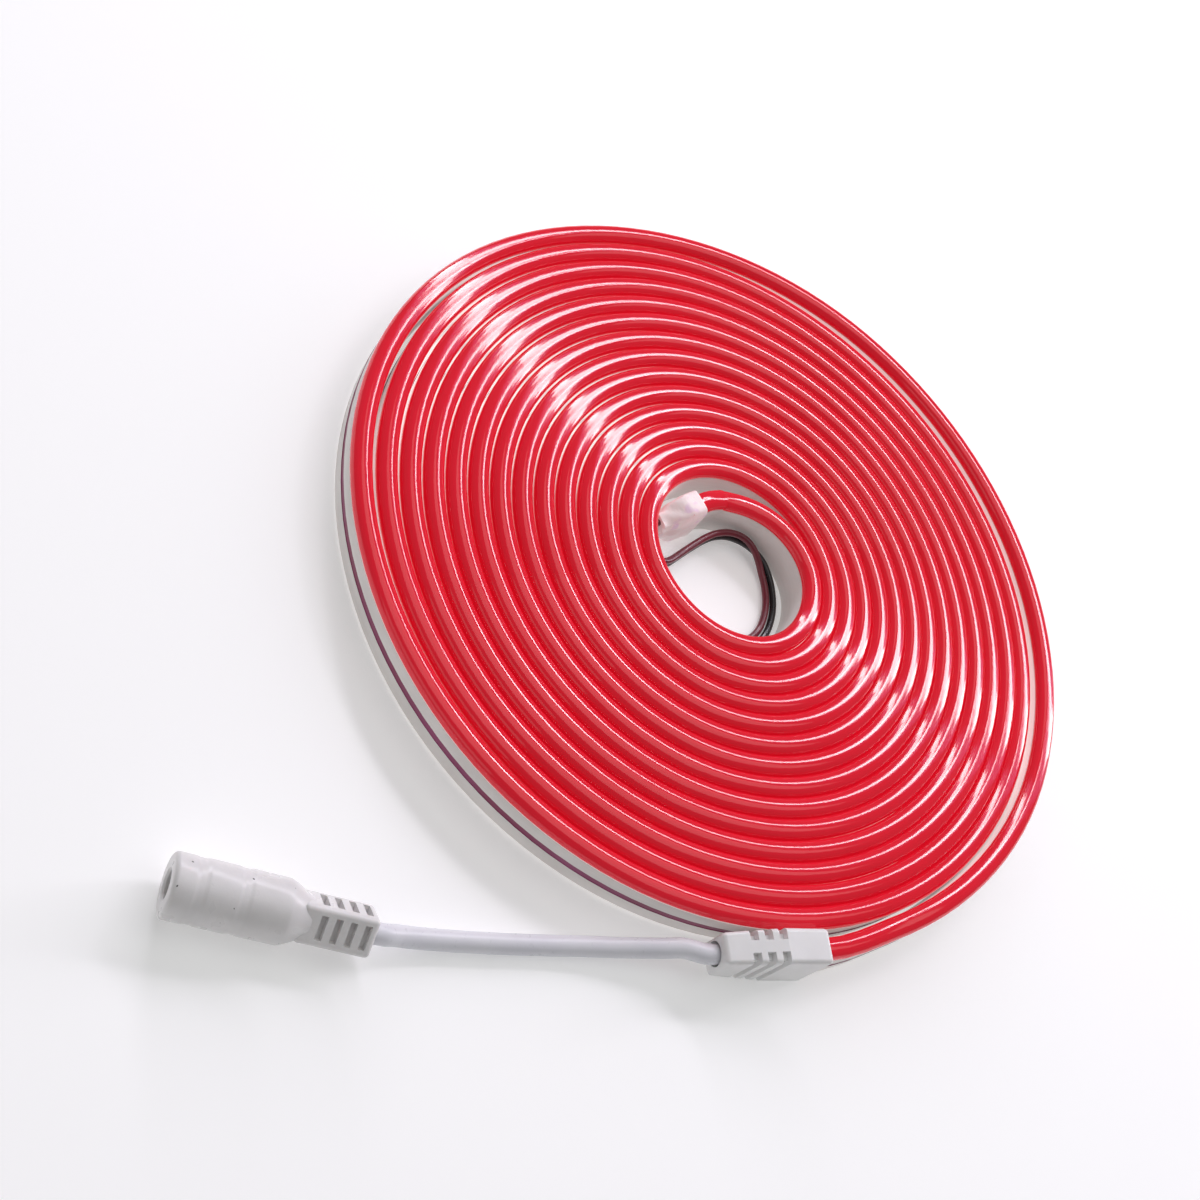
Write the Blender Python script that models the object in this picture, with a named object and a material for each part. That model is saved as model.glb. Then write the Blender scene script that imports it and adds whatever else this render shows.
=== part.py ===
"""LED neon flex: a five metre reel wound flat, with its lead, socket and tail wires.

Metres, +Z up. The reel lies on the floor with its lit side up. Plan places are measured
from the reel's winding axis; at the end everything moves so that the origin is the middle
of the underside of the flex and its two end caps.
"""
import math

import bmesh
import bpy
from mathutils import Matrix, Vector

# Flex section
FLEX_WIDTH = 0.0047
BASE_HEIGHT = 0.0092
SEAT_GAP = 0.0003
DOME_HEIGHT = 0.0025
FLEX_HEIGHT = BASE_HEIGHT + SEAT_GAP + DOME_HEIGHT
DOME_EDGE_RISE = 0.0003
DOME_SHOULDER_INSET = 0.0010
DOME_SHOULDER_DROP = 0.0006
FOOT_GROOVE_DEPTH = 0.0005
FOOT_GROOVE_HALF_WIDTH = 0.0003
WALL_LINE_HEIGHT = 0.0048
WALL_LINE_HALF_WIDTH = 0.0005
WALL_LINE_DEPTH = 0.0004

# Winding
TURN_SPACING = 0.00035
TURN_PITCH = FLEX_WIDTH + TURN_SPACING
WOUND_TURNS = 13
BORE_RADIUS = 0.02445
RIM_RADIUS = BORE_RADIUS + WOUND_TURNS * TURN_PITCH
START_ANGLE = math.radians(-37)
TAIL_SWEEP = math.radians(200)
STATION_STEP = math.radians(10)
BORE_SHIFT = 0.0034
BORE_SHIFT_ANGLE = math.radians(22)
OVAL = 0.0006
LOOSE_GAP = 0.0013
TIGHT_GAP = 0.0004
LOOSE_UNTIL = math.radians(110)
TIGHT_FROM = math.radians(195)
TAIL_LEAVES_AT = math.radians(70)
TAIL_SETTLES_AT = math.radians(160)
TAIL_INSET = 0.0036
END_LIFT_SWEEP = math.radians(45)

# Lead and wires
CABLE_DIAMETER = 0.0043
CABLE_SEAT_DEPTH = 0.0015
CABLE_SEAT_CLEARANCE = 0.0003
WIRE_DIAMETER = 0.0017
WIRE_SPACING = 0.0020
BARE_LENGTH = 0.0050
BARE_DIAMETER = 0.0012

# Lead end cap
POCKET_CLEARANCE = 0.0003
CAP_FLOOR = 0.0007
CAP_WALL = 0.00115
END_LIFT = CAP_FLOOR + POCKET_CLEARANCE
CAP_LENGTH = 0.0248
CAP_WIDTH = FLEX_WIDTH + 2 * (POCKET_CLEARANCE + CAP_WALL)
CAP_HEIGHT = FLEX_HEIGHT + 2 * END_LIFT
CAP_BLOCK_LENGTH = 0.0108
CAP_CABLE_WALL = 0.00125
CAP_CABLE_HEIGHT_WALL = 0.00225
CAP_CABLE_END_WIDTH = CABLE_DIAMETER + 2 * CAP_CABLE_WALL
CAP_CABLE_END_HEIGHT = CABLE_DIAMETER + 2 * CAP_CABLE_HEIGHT_WALL
CAP_CHAMFER = 0.0008
CAP_TURN = math.radians(-4)
CAP_POCKET_DEPTH = 0.0050
CAP_RIM_GAP = 0.0004
CAP_SLOTS = 3
CAP_SLOT_WIDTH = 0.0018
CAP_SLOT_PITCH = 0.0032
CAP_RIB_HALF_WIDTH = 0.0013
CAP_SLOT_DEPTH = 0.0016
CAP_SIDE_SLOT_DEPTH = 0.0010

# Tail end cap
TAIL_CAP_LENGTH = 0.0120
TAIL_CAP_POCKET_DEPTH = 0.0050
TAIL_CAP_WALL = 0.00065
TAIL_CAP_ROOF = 0.0005
TAIL_CAP_WIRE_WALL = 0.0015
TAIL_CAP_WIDTH = FLEX_WIDTH + 2 * (POCKET_CLEARANCE + TAIL_CAP_WALL)
TAIL_CAP_HEIGHT = END_LIFT + FLEX_HEIGHT + POCKET_CLEARANCE + TAIL_CAP_ROOF
TAIL_CAP_END_WIDTH = WIRE_DIAMETER + 2 * TAIL_CAP_WIRE_WALL
TAIL_CAP_END_HEIGHT = TAIL_CAP_END_WIDTH + WIRE_SPACING
TAIL_CAP_CHAMFER = 0.0010
TAIL_CAP_LIP = 0.0020
TAIL_STRAIGHT_LENGTH = 0.0030
TAIL_CAP_TURN = math.radians(16)

# Socket on the lead
BARREL_RADIUS = 0.0062
BARREL_LENGTH = 0.0219
BARREL_RIM = 0.0008
BARREL_RIM_STEP = 0.00024
SHOULDER_LENGTH = 0.0043
SHOULDER_PROUD = 0.0001
BAND_DEPTH = 0.00015
BAND_WIDTH = 0.0020
BAND_PLACES = (0.0050, 0.0135)
SOCKET_RADIUS = 0.00275
SOCKET_DEPTH = 0.0100
PIN_RADIUS = 0.00105
PIN_SET_BACK = 0.0010
RELIEF_LENGTH = 0.0126
RELIEF_WALL = 0.0018
RELIEF_WIDTH = CABLE_DIAMETER + 2 * RELIEF_WALL
RELIEF_CHAMFER = 0.0009
RELIEF_ROLL = math.radians(42)
RELIEF_SLOTS = 4
RELIEF_SLOT_WIDTH = 0.0013
RELIEF_SLOT_PITCH = 0.0028
RELIEF_SLOT_LENGTH = 0.0048
RELIEF_SLOT_DEPTH = 0.0012
JACK_ANGLE = math.radians(-143)
JACK_CABLE_END = (0.0082, -0.1291)
ROUND_SIDES = 24

# Routes of the lead and of the pair of wires, between their ends, from the winding axis:
# plan place and, last, the height above the lowest that the piece can lie
LEAD_ROUTE = (
    (0.0540, -0.0799, 0.0039),
    (0.0511, -0.0829, 0.0030),
    (0.0476, -0.0864, 0.0019),
    (0.0435, -0.0906, 0.0009),
    (0.0387, -0.0956, 0.0003),
    (0.0336, -0.1012, 0.0000),
    (0.0282, -0.1072, 0.0000),
    (0.0227, -0.1131, 0.0000),
    (0.0183, -0.1178, 0.0003),
    (0.0145, -0.1220, 0.0012),
    (0.0119, -0.1250, 0.0024),
)
WIRE_ROUTE = (
    (-0.0125, -0.0100, 0.0052),
    (-0.0117, -0.0116, 0.0044),
    (-0.0102, -0.0126, 0.0035),
    (-0.0086, -0.0126, 0.0026),
    (-0.0070, -0.0117, 0.0017),
    (-0.0061, -0.0098, 0.0009),
    (-0.0063, -0.0070, 0.0002),
    (-0.0068, -0.0034, 0.0000),
    (-0.0067, 0.0004, 0.0000),
    (-0.0059, 0.0043, 0.0000),
    (-0.0046, 0.0080, 0.0000),
    (-0.0026, 0.0114, 0.0000),
    (0.0004, 0.0139, 0.0000),
    (0.0041, 0.0150, 0.0000),
    (0.0079, 0.0148, 0.0000),
    (0.0114, 0.0133, 0.0000),
    (0.0144, 0.0109, 0.0000),
    (0.0169, 0.0079, 0.0000),
    (0.0188, 0.0044, 0.0000),
    (0.0200, 0.0006, 0.0000),
    (0.0201, -0.0033, 0.0000),
    (0.0188, -0.0070, 0.0000),
    (0.0167, -0.0104, 0.0000),
    (0.0138, -0.0128, 0.0000),
    (0.0103, -0.0143, 0.0000),
    (0.0066, -0.0148, 0.0000),
)
WIRES_STACKED_UNTIL = 0.50
WIRES_FLAT_FROM = 0.63
LEAD_POINTS = 28
WIRE_POINTS = 42

MERGE = 0.000001
SHARP_ANGLE = math.radians(35)
TURN = 2 * math.pi
STATIONS = round(TURN / STATION_STEP)
TAIL_STATIONS = round(TAIL_SWEEP / STATION_STEP)


def remove_everything():
    """Clears the scene of every object."""
    for old in list(bpy.data.objects):
        bpy.data.objects.remove(old, do_unlink=True)


def new_collection(name):
    """A collection of this name, in the scene."""
    collection = bpy.data.collections.new(name)
    bpy.context.scene.collection.children.link(collection)
    return collection


def plastic(name, colour, roughness, metallic=0.0):
    """A plain material with the piece's colour and gloss."""
    material = bpy.data.materials.new(name)
    material.use_nodes = True
    shader = material.node_tree.nodes["Principled BSDF"]
    shader.inputs["Base Color"].default_value = (*colour, 1.0)
    shader.inputs["Roughness"].default_value = roughness
    shader.inputs["Metallic"].default_value = metallic
    return material


def add_object(name, mesh, collection, material=None):
    """Turns a bmesh into an object with smooth faces and sharp corners."""
    bmesh.ops.recalc_face_normals(mesh, faces=mesh.faces)
    data = bpy.data.meshes.new(name)
    mesh.to_mesh(data)
    mesh.free()
    data.shade_smooth()
    data.set_sharp_from_angle(angle=SHARP_ANGLE)
    if material:
        data.materials.append(material)
    piece = bpy.data.objects.new(name, data)
    collection.objects.link(piece)
    return piece


def smooth_step(value, start, end):
    """Rises smoothly from 0 at start to 1 at end."""
    share = min(1.0, max(0.0, (value - start) / (end - start)))
    return share * share * (3 - 2 * share)


def loft(mesh, sections, close_start=True, close_end=True):
    """Joins closed sections, each a list of places, with faces."""
    rings = [[mesh.verts.new(place) for place in section] for section in sections]
    for ring, after in zip(rings, rings[1:]):
        count = len(ring)
        for index in range(count):
            following = (index + 1) % count
            mesh.faces.new((ring[index], ring[following], after[following], after[index]))
    if close_start:
        mesh.faces.new(rings[0])
    if close_end:
        mesh.faces.new(rings[-1])
    return rings


def coil_place(spiral_radius, angle, height):
    """A place on the reel. The bore lies off centre and the whole reel is a little oval."""
    share = max(0.0, (RIM_RADIUS - spiral_radius) / (RIM_RADIUS - BORE_RADIUS))
    radius = spiral_radius + BORE_SHIFT * share * math.cos(angle - BORE_SHIFT_ANGLE)
    radius += OVAL * math.cos(2 * angle)
    return Vector((radius * math.cos(angle), radius * math.sin(angle), height))


def base_walls(outer, inner, outer_line, inner_line):
    """The base's outer wall, from the foot up, and its inner wall, from the top down."""
    low = WALL_LINE_HEIGHT - WALL_LINE_HALF_WIDTH
    high = WALL_LINE_HEIGHT + WALL_LINE_HALF_WIDTH
    outer_wall = [(outer, FOOT_GROOVE_DEPTH), (outer, low), (outer - outer_line, WALL_LINE_HEIGHT),
                  (outer, high), (outer, BASE_HEIGHT)]
    inner_wall = [(inner, BASE_HEIGHT), (inner, high), (inner + inner_line, WALL_LINE_HEIGHT),
                  (inner, low), (inner, FOOT_GROOVE_DEPTH)]
    return outer_wall, inner_wall


def base_section(outer, inner, turns=1, line_ways=(1, 1)):
    """Section of the white base: its walls, and a foot for each turn.

    line_ways says whether the outer and the inner wall's line go into the section (1) or,
    where the section meets the wall of the turn beside it, out of it (-1).
    """
    outer_line, inner_line = (way * WALL_LINE_DEPTH for way in line_ways)
    outer_wall, inner_wall = base_walls(outer, inner, outer_line, inner_line)
    foot = []
    width = (outer - inner) / turns
    for turn in range(turns):
        edge = inner + turn * width
        foot += [(edge + FOOT_GROOVE_HALF_WIDTH, 0.0), (edge + width - FOOT_GROOVE_HALF_WIDTH, 0.0)]
        if turn < turns - 1:
            foot.append((edge + width, FOOT_GROOVE_DEPTH))
    return outer_wall + inner_wall + foot


def diffuser_section(outer, inner, turns=1, line_ways=(1, 1)):
    """Section of the red diffuser: its flat seat, and a dome for each turn.

    Its walls have no line, so line_ways changes nothing here.
    """
    seat = BASE_HEIGHT + SEAT_GAP
    edge_height = seat + DOME_EDGE_RISE
    shoulder = FLEX_HEIGHT - DOME_SHOULDER_DROP
    width = (outer - inner) / turns
    section = [(inner, seat), (outer, seat)]
    for turn in range(turns):
        edge = outer - turn * width
        section += [(edge, edge_height), (edge - DOME_SHOULDER_INSET, shoulder),
                    (edge - width / 2, FLEX_HEIGHT), (edge - width + DOME_SHOULDER_INSET, shoulder)]
    return section + [(inner, edge_height)]


def placed(section, angle, inward=0.0, lift=0.0):
    """A section's places on the reel at an angle."""
    return [coil_place(radius - inward, angle, height + lift) for radius, height in section]


def split_plain_side(ring, section, spiral_radius):
    """Adds a corner to the long plain side of a section, where a neighbour's wall meets it."""
    count = len(section)
    index = max(range(count), key=lambda place: abs(section[(place + 1) % count][0] - section[place][0]))
    after = (index + 1) % count
    edge = next(edge for edge in ring[index].link_edges if edge.other_vert(ring[index]) is ring[after])
    fraction = (spiral_radius - section[index][0]) / (section[after][0] - section[index][0])
    bmesh.utils.edge_split(edge, ring[index], fraction)


def wound_body(mesh, section_of):
    """The tight turns as one turned solid whose section moves in by a pitch each turn."""
    section = section_of(RIM_RADIUS, BORE_RADIUS, WOUND_TURNS)
    sections = []
    for station in range(STATIONS + 1):
        share = station / STATIONS
        sections.append(placed(section, START_ANGLE + share * TURN, inward=share * TURN_PITCH))
    rings = loft(mesh, sections, close_start=False, close_end=False)
    split_plain_side(rings[0], section, RIM_RADIUS - TURN_PITCH)
    split_plain_side(rings[-1], section, BORE_RADIUS + TURN_PITCH)


def loose_gap(sweep):
    """Gap inside the outermost turn, by how far it has wound from the lead."""
    cap_middle = (RIM_RADIUS + CAP_RIM_GAP + CAP_WIDTH / 2) / math.cos(CAP_TURN)
    cap_gap = cap_middle - FLEX_WIDTH / 2 - RIM_RADIUS
    wide = cap_gap + (LOOSE_GAP - cap_gap) * smooth_step(sweep, 0.0, END_LIFT_SWEEP)
    return wide + (TIGHT_GAP - wide) * smooth_step(sweep, LOOSE_UNTIL, TIGHT_FROM)


def loose_edge(sweep):
    """Inner spiral radius of the outermost turn."""
    return RIM_RADIUS - TURN_PITCH * sweep / TURN + loose_gap(sweep)


def end_section(section_of, mouth, angle, depth, outer_side):
    """The flex's end in a cap's pocket, straight in from the cap's mouth.

    outer_side is 1 where the reel's outer side is on the left of the way in, else -1.
    """
    way = heading(angle)
    left = Vector((-way.y, way.x, 0.0))
    half = FLEX_WIDTH / 2
    return [mouth + way * depth + left * across * outer_side + Vector((0, 0, height + END_LIFT))
            for across, height in section_of(half, -half)]


def loose_turn(mesh, section_of):
    """The outermost turn, which stands a little off the others, back to the lead."""
    seam = section_of(RIM_RADIUS, RIM_RADIUS - TURN_PITCH, line_ways=(1, -1))
    sections = [placed(seam, START_ANGLE)]
    for station in range(1, STATIONS + 1):
        sweep = TURN * (1 - station / STATIONS)
        section = section_of(loose_edge(sweep) + FLEX_WIDTH, loose_edge(sweep))
        lift = END_LIFT * (1 - smooth_step(sweep, 0.0, END_LIFT_SWEEP))
        sections.append(placed(section, START_ANGLE + sweep, lift=lift))
    sections.append(end_section(section_of, *lead_end(), CAP_POCKET_DEPTH, outer_side=1))
    loft(mesh, sections, close_start=False)


def tail_edge(sweep):
    """Outer spiral radius of the tail, which leaves the bore's wall and turns inwards."""
    wall = BORE_RADIUS - TURN_PITCH * sweep / TURN
    return wall - TIGHT_GAP - TAIL_INSET * smooth_step(sweep, TAIL_LEAVES_AT, TAIL_SETTLES_AT)


def tail_turn(mesh, section_of):
    """The innermost part turn, from the bore's wall to the tail cap."""
    seam = section_of(BORE_RADIUS, BORE_RADIUS - TURN_PITCH, line_ways=(-1, 1))
    sections = [placed(seam, START_ANGLE)]
    for station in range(1, TAIL_STATIONS):
        sweep = TAIL_SWEEP * station / TAIL_STATIONS
        section = section_of(tail_edge(sweep), tail_edge(sweep) - FLEX_WIDTH)
        lift = END_LIFT * smooth_step(sweep, TAIL_SWEEP - END_LIFT_SWEEP, TAIL_SWEEP)
        sections.append(placed(section, START_ANGLE + sweep, lift=lift))
    for depth in (-TAIL_STRAIGHT_LENGTH, TAIL_CAP_POCKET_DEPTH):
        sections.append(end_section(section_of, *tail_end(), depth, outer_side=-1))
    loft(mesh, sections, close_start=False)


def flex_layer(name, section_of, collection, material):
    """One layer of the flex, wound: its tight turns, its loose outer turn and its tail."""
    mesh = bmesh.new()
    wound_body(mesh, section_of)
    loose_turn(mesh, section_of)
    tail_turn(mesh, section_of)
    bmesh.ops.remove_doubles(mesh, verts=mesh.verts, dist=MERGE)
    return add_object(name, mesh, collection, material)


def chamfered_section(along, width, low, high, chamfer):
    """A rectangle with cut corners across the X axis, as places."""
    side = width / 2
    outline = [(side, low + chamfer), (side, high - chamfer), (side - chamfer, high),
               (chamfer - side, high), (-side, high - chamfer), (-side, low + chamfer),
               (chamfer - side, low), (side - chamfer, low)]
    return [Vector((along, across, height)) for across, height in outline]


def box(mesh, low, high):
    """A box between two corners."""
    size = Vector(high) - Vector(low)
    middle = (Vector(high) + Vector(low)) / 2
    place = Matrix.Translation(middle) @ Matrix.Diagonal((*size, 1.0))
    bmesh.ops.create_cube(mesh, size=1.0, matrix=place)


def cylinder(mesh, radius, start, end, height=0.0):
    """A round bar along the X axis."""
    place = Matrix.Translation(((start + end) / 2, 0.0, height)) @ Matrix.Rotation(math.pi / 2, 4, "Y")
    bmesh.ops.create_cone(mesh, cap_ends=True, segments=ROUND_SIDES, radius1=radius, radius2=radius,
                          depth=end - start, matrix=place)


def cut(piece, cutter_mesh, cutters, operation="DIFFERENCE"):
    """Cuts a piece with a hidden cutter that lies in the same place."""
    cutter = add_object(piece.name + "_cutter" + str(len(piece.modifiers)), cutter_mesh, cutters)
    cutter.matrix_world = piece.matrix_world
    cutter.hide_render = True
    cutter.display_type = "WIRE"
    boolean = piece.modifiers.new(operation.lower(), "BOOLEAN")
    boolean.operation = operation
    boolean.object = cutter


def place_along(piece, start, angle):
    """Puts a piece that is modelled along +X at its start, turned to an angle about Z."""
    piece.matrix_world = Matrix.Translation(start) @ Matrix.Rotation(angle, 4, "Z")


def heading(angle):
    """The level way that an angle points."""
    return Vector((math.cos(angle), math.sin(angle), 0.0))


def lead_end():
    """Middle of the lead cap's mouth, at the flex's foot, and the way that the cap runs."""
    middle = loose_edge(0.0) + FLEX_WIDTH / 2
    place = coil_place(middle, START_ANGLE, 0.0)
    return place, START_ANGLE - math.pi / 2 + CAP_TURN


def tail_end():
    """Middle of the tail cap's mouth, at the flex's foot, and the way that the cap runs."""
    middle = tail_edge(TAIL_SWEEP) - FLEX_WIDTH / 2
    angle = START_ANGLE + TAIL_SWEEP
    return coil_place(middle, angle, 0.0), angle + math.pi / 2 + TAIL_CAP_TURN


def flex_pocket(mesh, depth):
    """The hole in a cap that the flex's end goes into, with room all round it."""
    half = FLEX_WIDTH / 2 + POCKET_CLEARANCE
    box(mesh, (-depth, -half, END_LIFT - POCKET_CLEARANCE),
        (depth + POCKET_CLEARANCE, half, END_LIFT + FLEX_HEIGHT + POCKET_CLEARANCE))


def cap_height_at(along):
    """Height of the lead cap at a distance from its flex end."""
    taper = (CAP_HEIGHT - CAP_CABLE_END_HEIGHT) / (CAP_LENGTH - CAP_BLOCK_LENGTH)
    return CAP_HEIGHT - taper * max(0.0, along - CAP_BLOCK_LENGTH)


def cap_slot(mesh, start, way):
    """One slot of the lead cap on one side: over the top, down the side and underneath."""
    height = cap_height_at(start + CAP_SLOT_WIDTH / 2)
    low = (CAP_HEIGHT - height) / 2
    high = low + height
    inside = CAP_WIDTH / 2 - CAP_SIDE_SLOT_DEPTH
    outline = [(CAP_RIB_HALF_WIDTH, high + CAP_SLOT_DEPTH), (CAP_RIB_HALF_WIDTH, high - CAP_SLOT_DEPTH),
               (inside, high - CAP_SLOT_DEPTH), (inside, low + CAP_SLOT_DEPTH),
               (CAP_RIB_HALF_WIDTH, low + CAP_SLOT_DEPTH), (CAP_RIB_HALF_WIDTH, low - CAP_SLOT_DEPTH),
               (CAP_WIDTH, low - CAP_SLOT_DEPTH), (CAP_WIDTH, high + CAP_SLOT_DEPTH)]
    sections = [[Vector((along, way * across, height)) for across, height in outline]
                for along in (start, start + CAP_SLOT_WIDTH)]
    loft(mesh, sections)


def lead_end_cap(collection, cutters, material):
    """The moulded cap on the outer end, slotted, with a pocket for the flex and a cable seat."""
    middle = CAP_HEIGHT / 2
    mesh = bmesh.new()
    end_half = CAP_CABLE_END_HEIGHT / 2
    loft(mesh, [
        chamfered_section(0.0, CAP_WIDTH, 0.0, CAP_HEIGHT, CAP_CHAMFER),
        chamfered_section(CAP_BLOCK_LENGTH, CAP_WIDTH, 0.0, CAP_HEIGHT, CAP_CHAMFER),
        chamfered_section(CAP_LENGTH, CAP_CABLE_END_WIDTH, middle - end_half, middle + end_half, CAP_CHAMFER),
    ])
    cap = add_object("lead_end_cap", mesh, collection, material)
    place_along(cap, *lead_end())

    openings = bmesh.new()
    flex_pocket(openings, CAP_POCKET_DEPTH)
    cylinder(openings, CABLE_DIAMETER / 2 + CABLE_SEAT_CLEARANCE, CAP_LENGTH - CABLE_SEAT_DEPTH,
             CAP_LENGTH + CABLE_SEAT_DEPTH, middle)
    for slot in range(CAP_SLOTS):
        for way in (-1, 1):
            cap_slot(openings, CAP_BLOCK_LENGTH + slot * CAP_SLOT_PITCH, way)
    cut(cap, openings, cutters)
    return cap


def tail_end_cap(collection, cutters, material):
    """The soft sleeve on the far end: its mouth slants, and it narrows to the wires."""
    mesh = bmesh.new()
    middle = TAIL_CAP_HEIGHT / 2
    end_half = TAIL_CAP_END_HEIGHT / 2
    mouth = chamfered_section(0.0, TAIL_CAP_WIDTH, 0.0, TAIL_CAP_HEIGHT, TAIL_CAP_CHAMFER)
    for place in mouth:
        place.x -= TAIL_CAP_LIP * (1 - place.z / TAIL_CAP_HEIGHT)
    belly = chamfered_section(TAIL_CAP_LENGTH / 2, TAIL_CAP_WIDTH, 0.0, TAIL_CAP_HEIGHT, TAIL_CAP_CHAMFER)
    end = chamfered_section(TAIL_CAP_LENGTH, TAIL_CAP_END_WIDTH, middle - end_half, middle + end_half,
                            TAIL_CAP_CHAMFER)
    loft(mesh, [mouth, belly, end])
    cap = add_object("tail_end_cap", mesh, collection, material)
    place_along(cap, *tail_end())

    pocket = bmesh.new()
    flex_pocket(pocket, TAIL_CAP_POCKET_DEPTH)
    cut(cap, pocket, cutters)
    return cap


def turned(mesh, profile):
    """Spins a closed outline of (along, radius) about the X axis."""
    corners = [mesh.verts.new((along, 0.0, radius)) for along, radius in profile]
    edges = [mesh.edges.new(pair) for pair in zip(corners, corners[1:])]
    bmesh.ops.spin(mesh, geom=corners + edges, cent=(0, 0, 0), axis=(1, 0, 0), angle=TURN,
                   steps=ROUND_SIDES, use_merge=True)
    bmesh.ops.remove_doubles(mesh, verts=mesh.verts, dist=MERGE)


def barrel_profile():
    """Outline of the socket's barrel and shoulder, from the bore's end round to the back."""
    outline = [(SOCKET_DEPTH, 0.0), (SOCKET_DEPTH, SOCKET_RADIUS), (0.0, SOCKET_RADIUS),
               (0.0, BARREL_RADIUS - BARREL_RIM), (BARREL_RIM_STEP, BARREL_RADIUS - BARREL_RIM_STEP),
               (BARREL_RIM, BARREL_RADIUS)]
    for start in BAND_PLACES:
        end = start + BAND_WIDTH
        low = BARREL_RADIUS - BAND_DEPTH
        outline += [(start, BARREL_RADIUS), (start + BAND_DEPTH, low), (end - BAND_DEPTH, low),
                    (end, BARREL_RADIUS)]
    shoulder = BARREL_LENGTH + SHOULDER_LENGTH
    return outline + [(BARREL_LENGTH, BARREL_RADIUS), (shoulder, RELIEF_WIDTH / 2 + SHOULDER_PROUD), (shoulder, 0.0)]


def jack_place():
    """Where the middle of the socket's mouth lies; the socket runs from it to the cable."""
    length = BARREL_LENGTH + SHOULDER_LENGTH + RELIEF_LENGTH
    way = heading(JACK_ANGLE)
    return Vector((*JACK_CABLE_END, BARREL_RADIUS + SEAT_GAP)) + way * length


def jack_housing(collection, cutters, material):
    """The moulded socket: a barrel with a bore, a shoulder and a slotted square relief."""
    mesh = bmesh.new()
    turned(mesh, barrel_profile())
    jack = add_object("jack_housing", mesh, collection, material)
    place_along(jack, jack_place(), JACK_ANGLE + math.pi)

    shoulder = BARREL_LENGTH + SHOULDER_LENGTH
    end = shoulder + RELIEF_LENGTH
    half = RELIEF_WIDTH / 2
    relief = bmesh.new()
    loft(relief, [chamfered_section(along, RELIEF_WIDTH, -half, half, RELIEF_CHAMFER)
                  for along in (shoulder - SHOULDER_LENGTH / 2, end)])
    bmesh.ops.rotate(relief, verts=relief.verts, matrix=Matrix.Rotation(RELIEF_ROLL, 3, "X"))
    cut(jack, relief, cutters, operation="UNION")

    openings = bmesh.new()
    cylinder(openings, CABLE_DIAMETER / 2 + CABLE_SEAT_CLEARANCE, end - CABLE_SEAT_DEPTH,
             end + CABLE_SEAT_DEPTH)
    for side in range(4):
        roll = Matrix.Rotation(RELIEF_ROLL + side * math.pi / 2, 3, "X")
        for slot in range(RELIEF_SLOTS):
            start = end - RELIEF_SLOT_PITCH * (slot + 1)
            known = set(openings.verts)
            box(openings, (start, -RELIEF_SLOT_LENGTH / 2, half - RELIEF_SLOT_DEPTH),
                (start + RELIEF_SLOT_WIDTH, RELIEF_SLOT_LENGTH / 2, half + RELIEF_SLOT_DEPTH))
            bmesh.ops.rotate(openings, verts=[v for v in openings.verts if v not in known], matrix=roll)
    cut(jack, openings, cutters)


def jack_pin(collection, material):
    """The contact pin in the middle of the socket."""
    mesh = bmesh.new()
    cylinder(mesh, PIN_RADIUS, PIN_SET_BACK, SOCKET_DEPTH - SEAT_GAP)
    pin = add_object("jack_pin", mesh, collection, material)
    place_along(pin, jack_place(), JACK_ANGLE + math.pi)


def smooth_route(points, count):
    """Reads a number of evenly timed points from a smooth curve through the route's points."""
    padded = [2 * points[0] - points[1], *points, 2 * points[-1] - points[-2]]
    spans = len(points) - 1
    route = []
    for index in range(count):
        time = spans * index / (count - 1)
        span = min(int(time), spans - 1)
        share = time - span
        before, start, end, after = padded[span:span + 4]
        place = start * 2 + (end - before) * share
        place += (before * 2 - start * 5 + end * 4 - after) * share ** 2
        place += (start * 3 - before - end * 3 + after) * share ** 3
        route.append(place / 2)
    return route


def tube(name, places, diameter, collection, material):
    """A straight-sided curve with a round bevel through the places."""
    data = bpy.data.curves.new(name, "CURVE")
    data.dimensions = "3D"
    data.bevel_depth = diameter / 2
    data.bevel_resolution = 2
    data.use_fill_caps = True
    spline = data.splines.new("POLY")
    spline.points.add(len(places) - 1)
    for point, place in zip(spline.points, places):
        point.co = (*place, 1.0)
    data.materials.append(material)
    collection.objects.link(bpy.data.objects.new(name, data))


def lead_route():
    """Middle line of the lead, from the cap's cable seat to the socket's."""
    mouth, angle = lead_end()
    way = heading(angle)
    cap_end = mouth + way * CAP_LENGTH + Vector((0, 0, CAP_HEIGHT / 2))
    jack_way = heading(JACK_ANGLE)
    jack_end = Vector((*JACK_CABLE_END, BARREL_RADIUS + SEAT_GAP))
    seat = CABLE_SEAT_DEPTH - CABLE_SEAT_CLEARANCE
    lie = CABLE_DIAMETER / 2 + SEAT_GAP
    points = [cap_end - way * seat, cap_end + way * CABLE_DIAMETER / 2]
    points += [Vector((x, y, lie + height)) for x, y, height in LEAD_ROUTE]
    points += [jack_end - jack_way * CABLE_DIAMETER / 2, jack_end + jack_way * seat]
    return smooth_route(points, LEAD_POINTS)


def wire_pair_route():
    """Middle line of the pair of wires, from the tail cap's narrow end."""
    mouth, angle = tail_end()
    way = heading(angle)
    cap_end = mouth + way * (TAIL_CAP_LENGTH + SEAT_GAP)
    cap_end.z = TAIL_CAP_HEIGHT / 2
    lie = WIRE_DIAMETER / 2 + SEAT_GAP
    points = [cap_end] + [Vector((x, y, lie + height)) for x, y, height in WIRE_ROUTE]
    return smooth_route(points, WIRE_POINTS)


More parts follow.
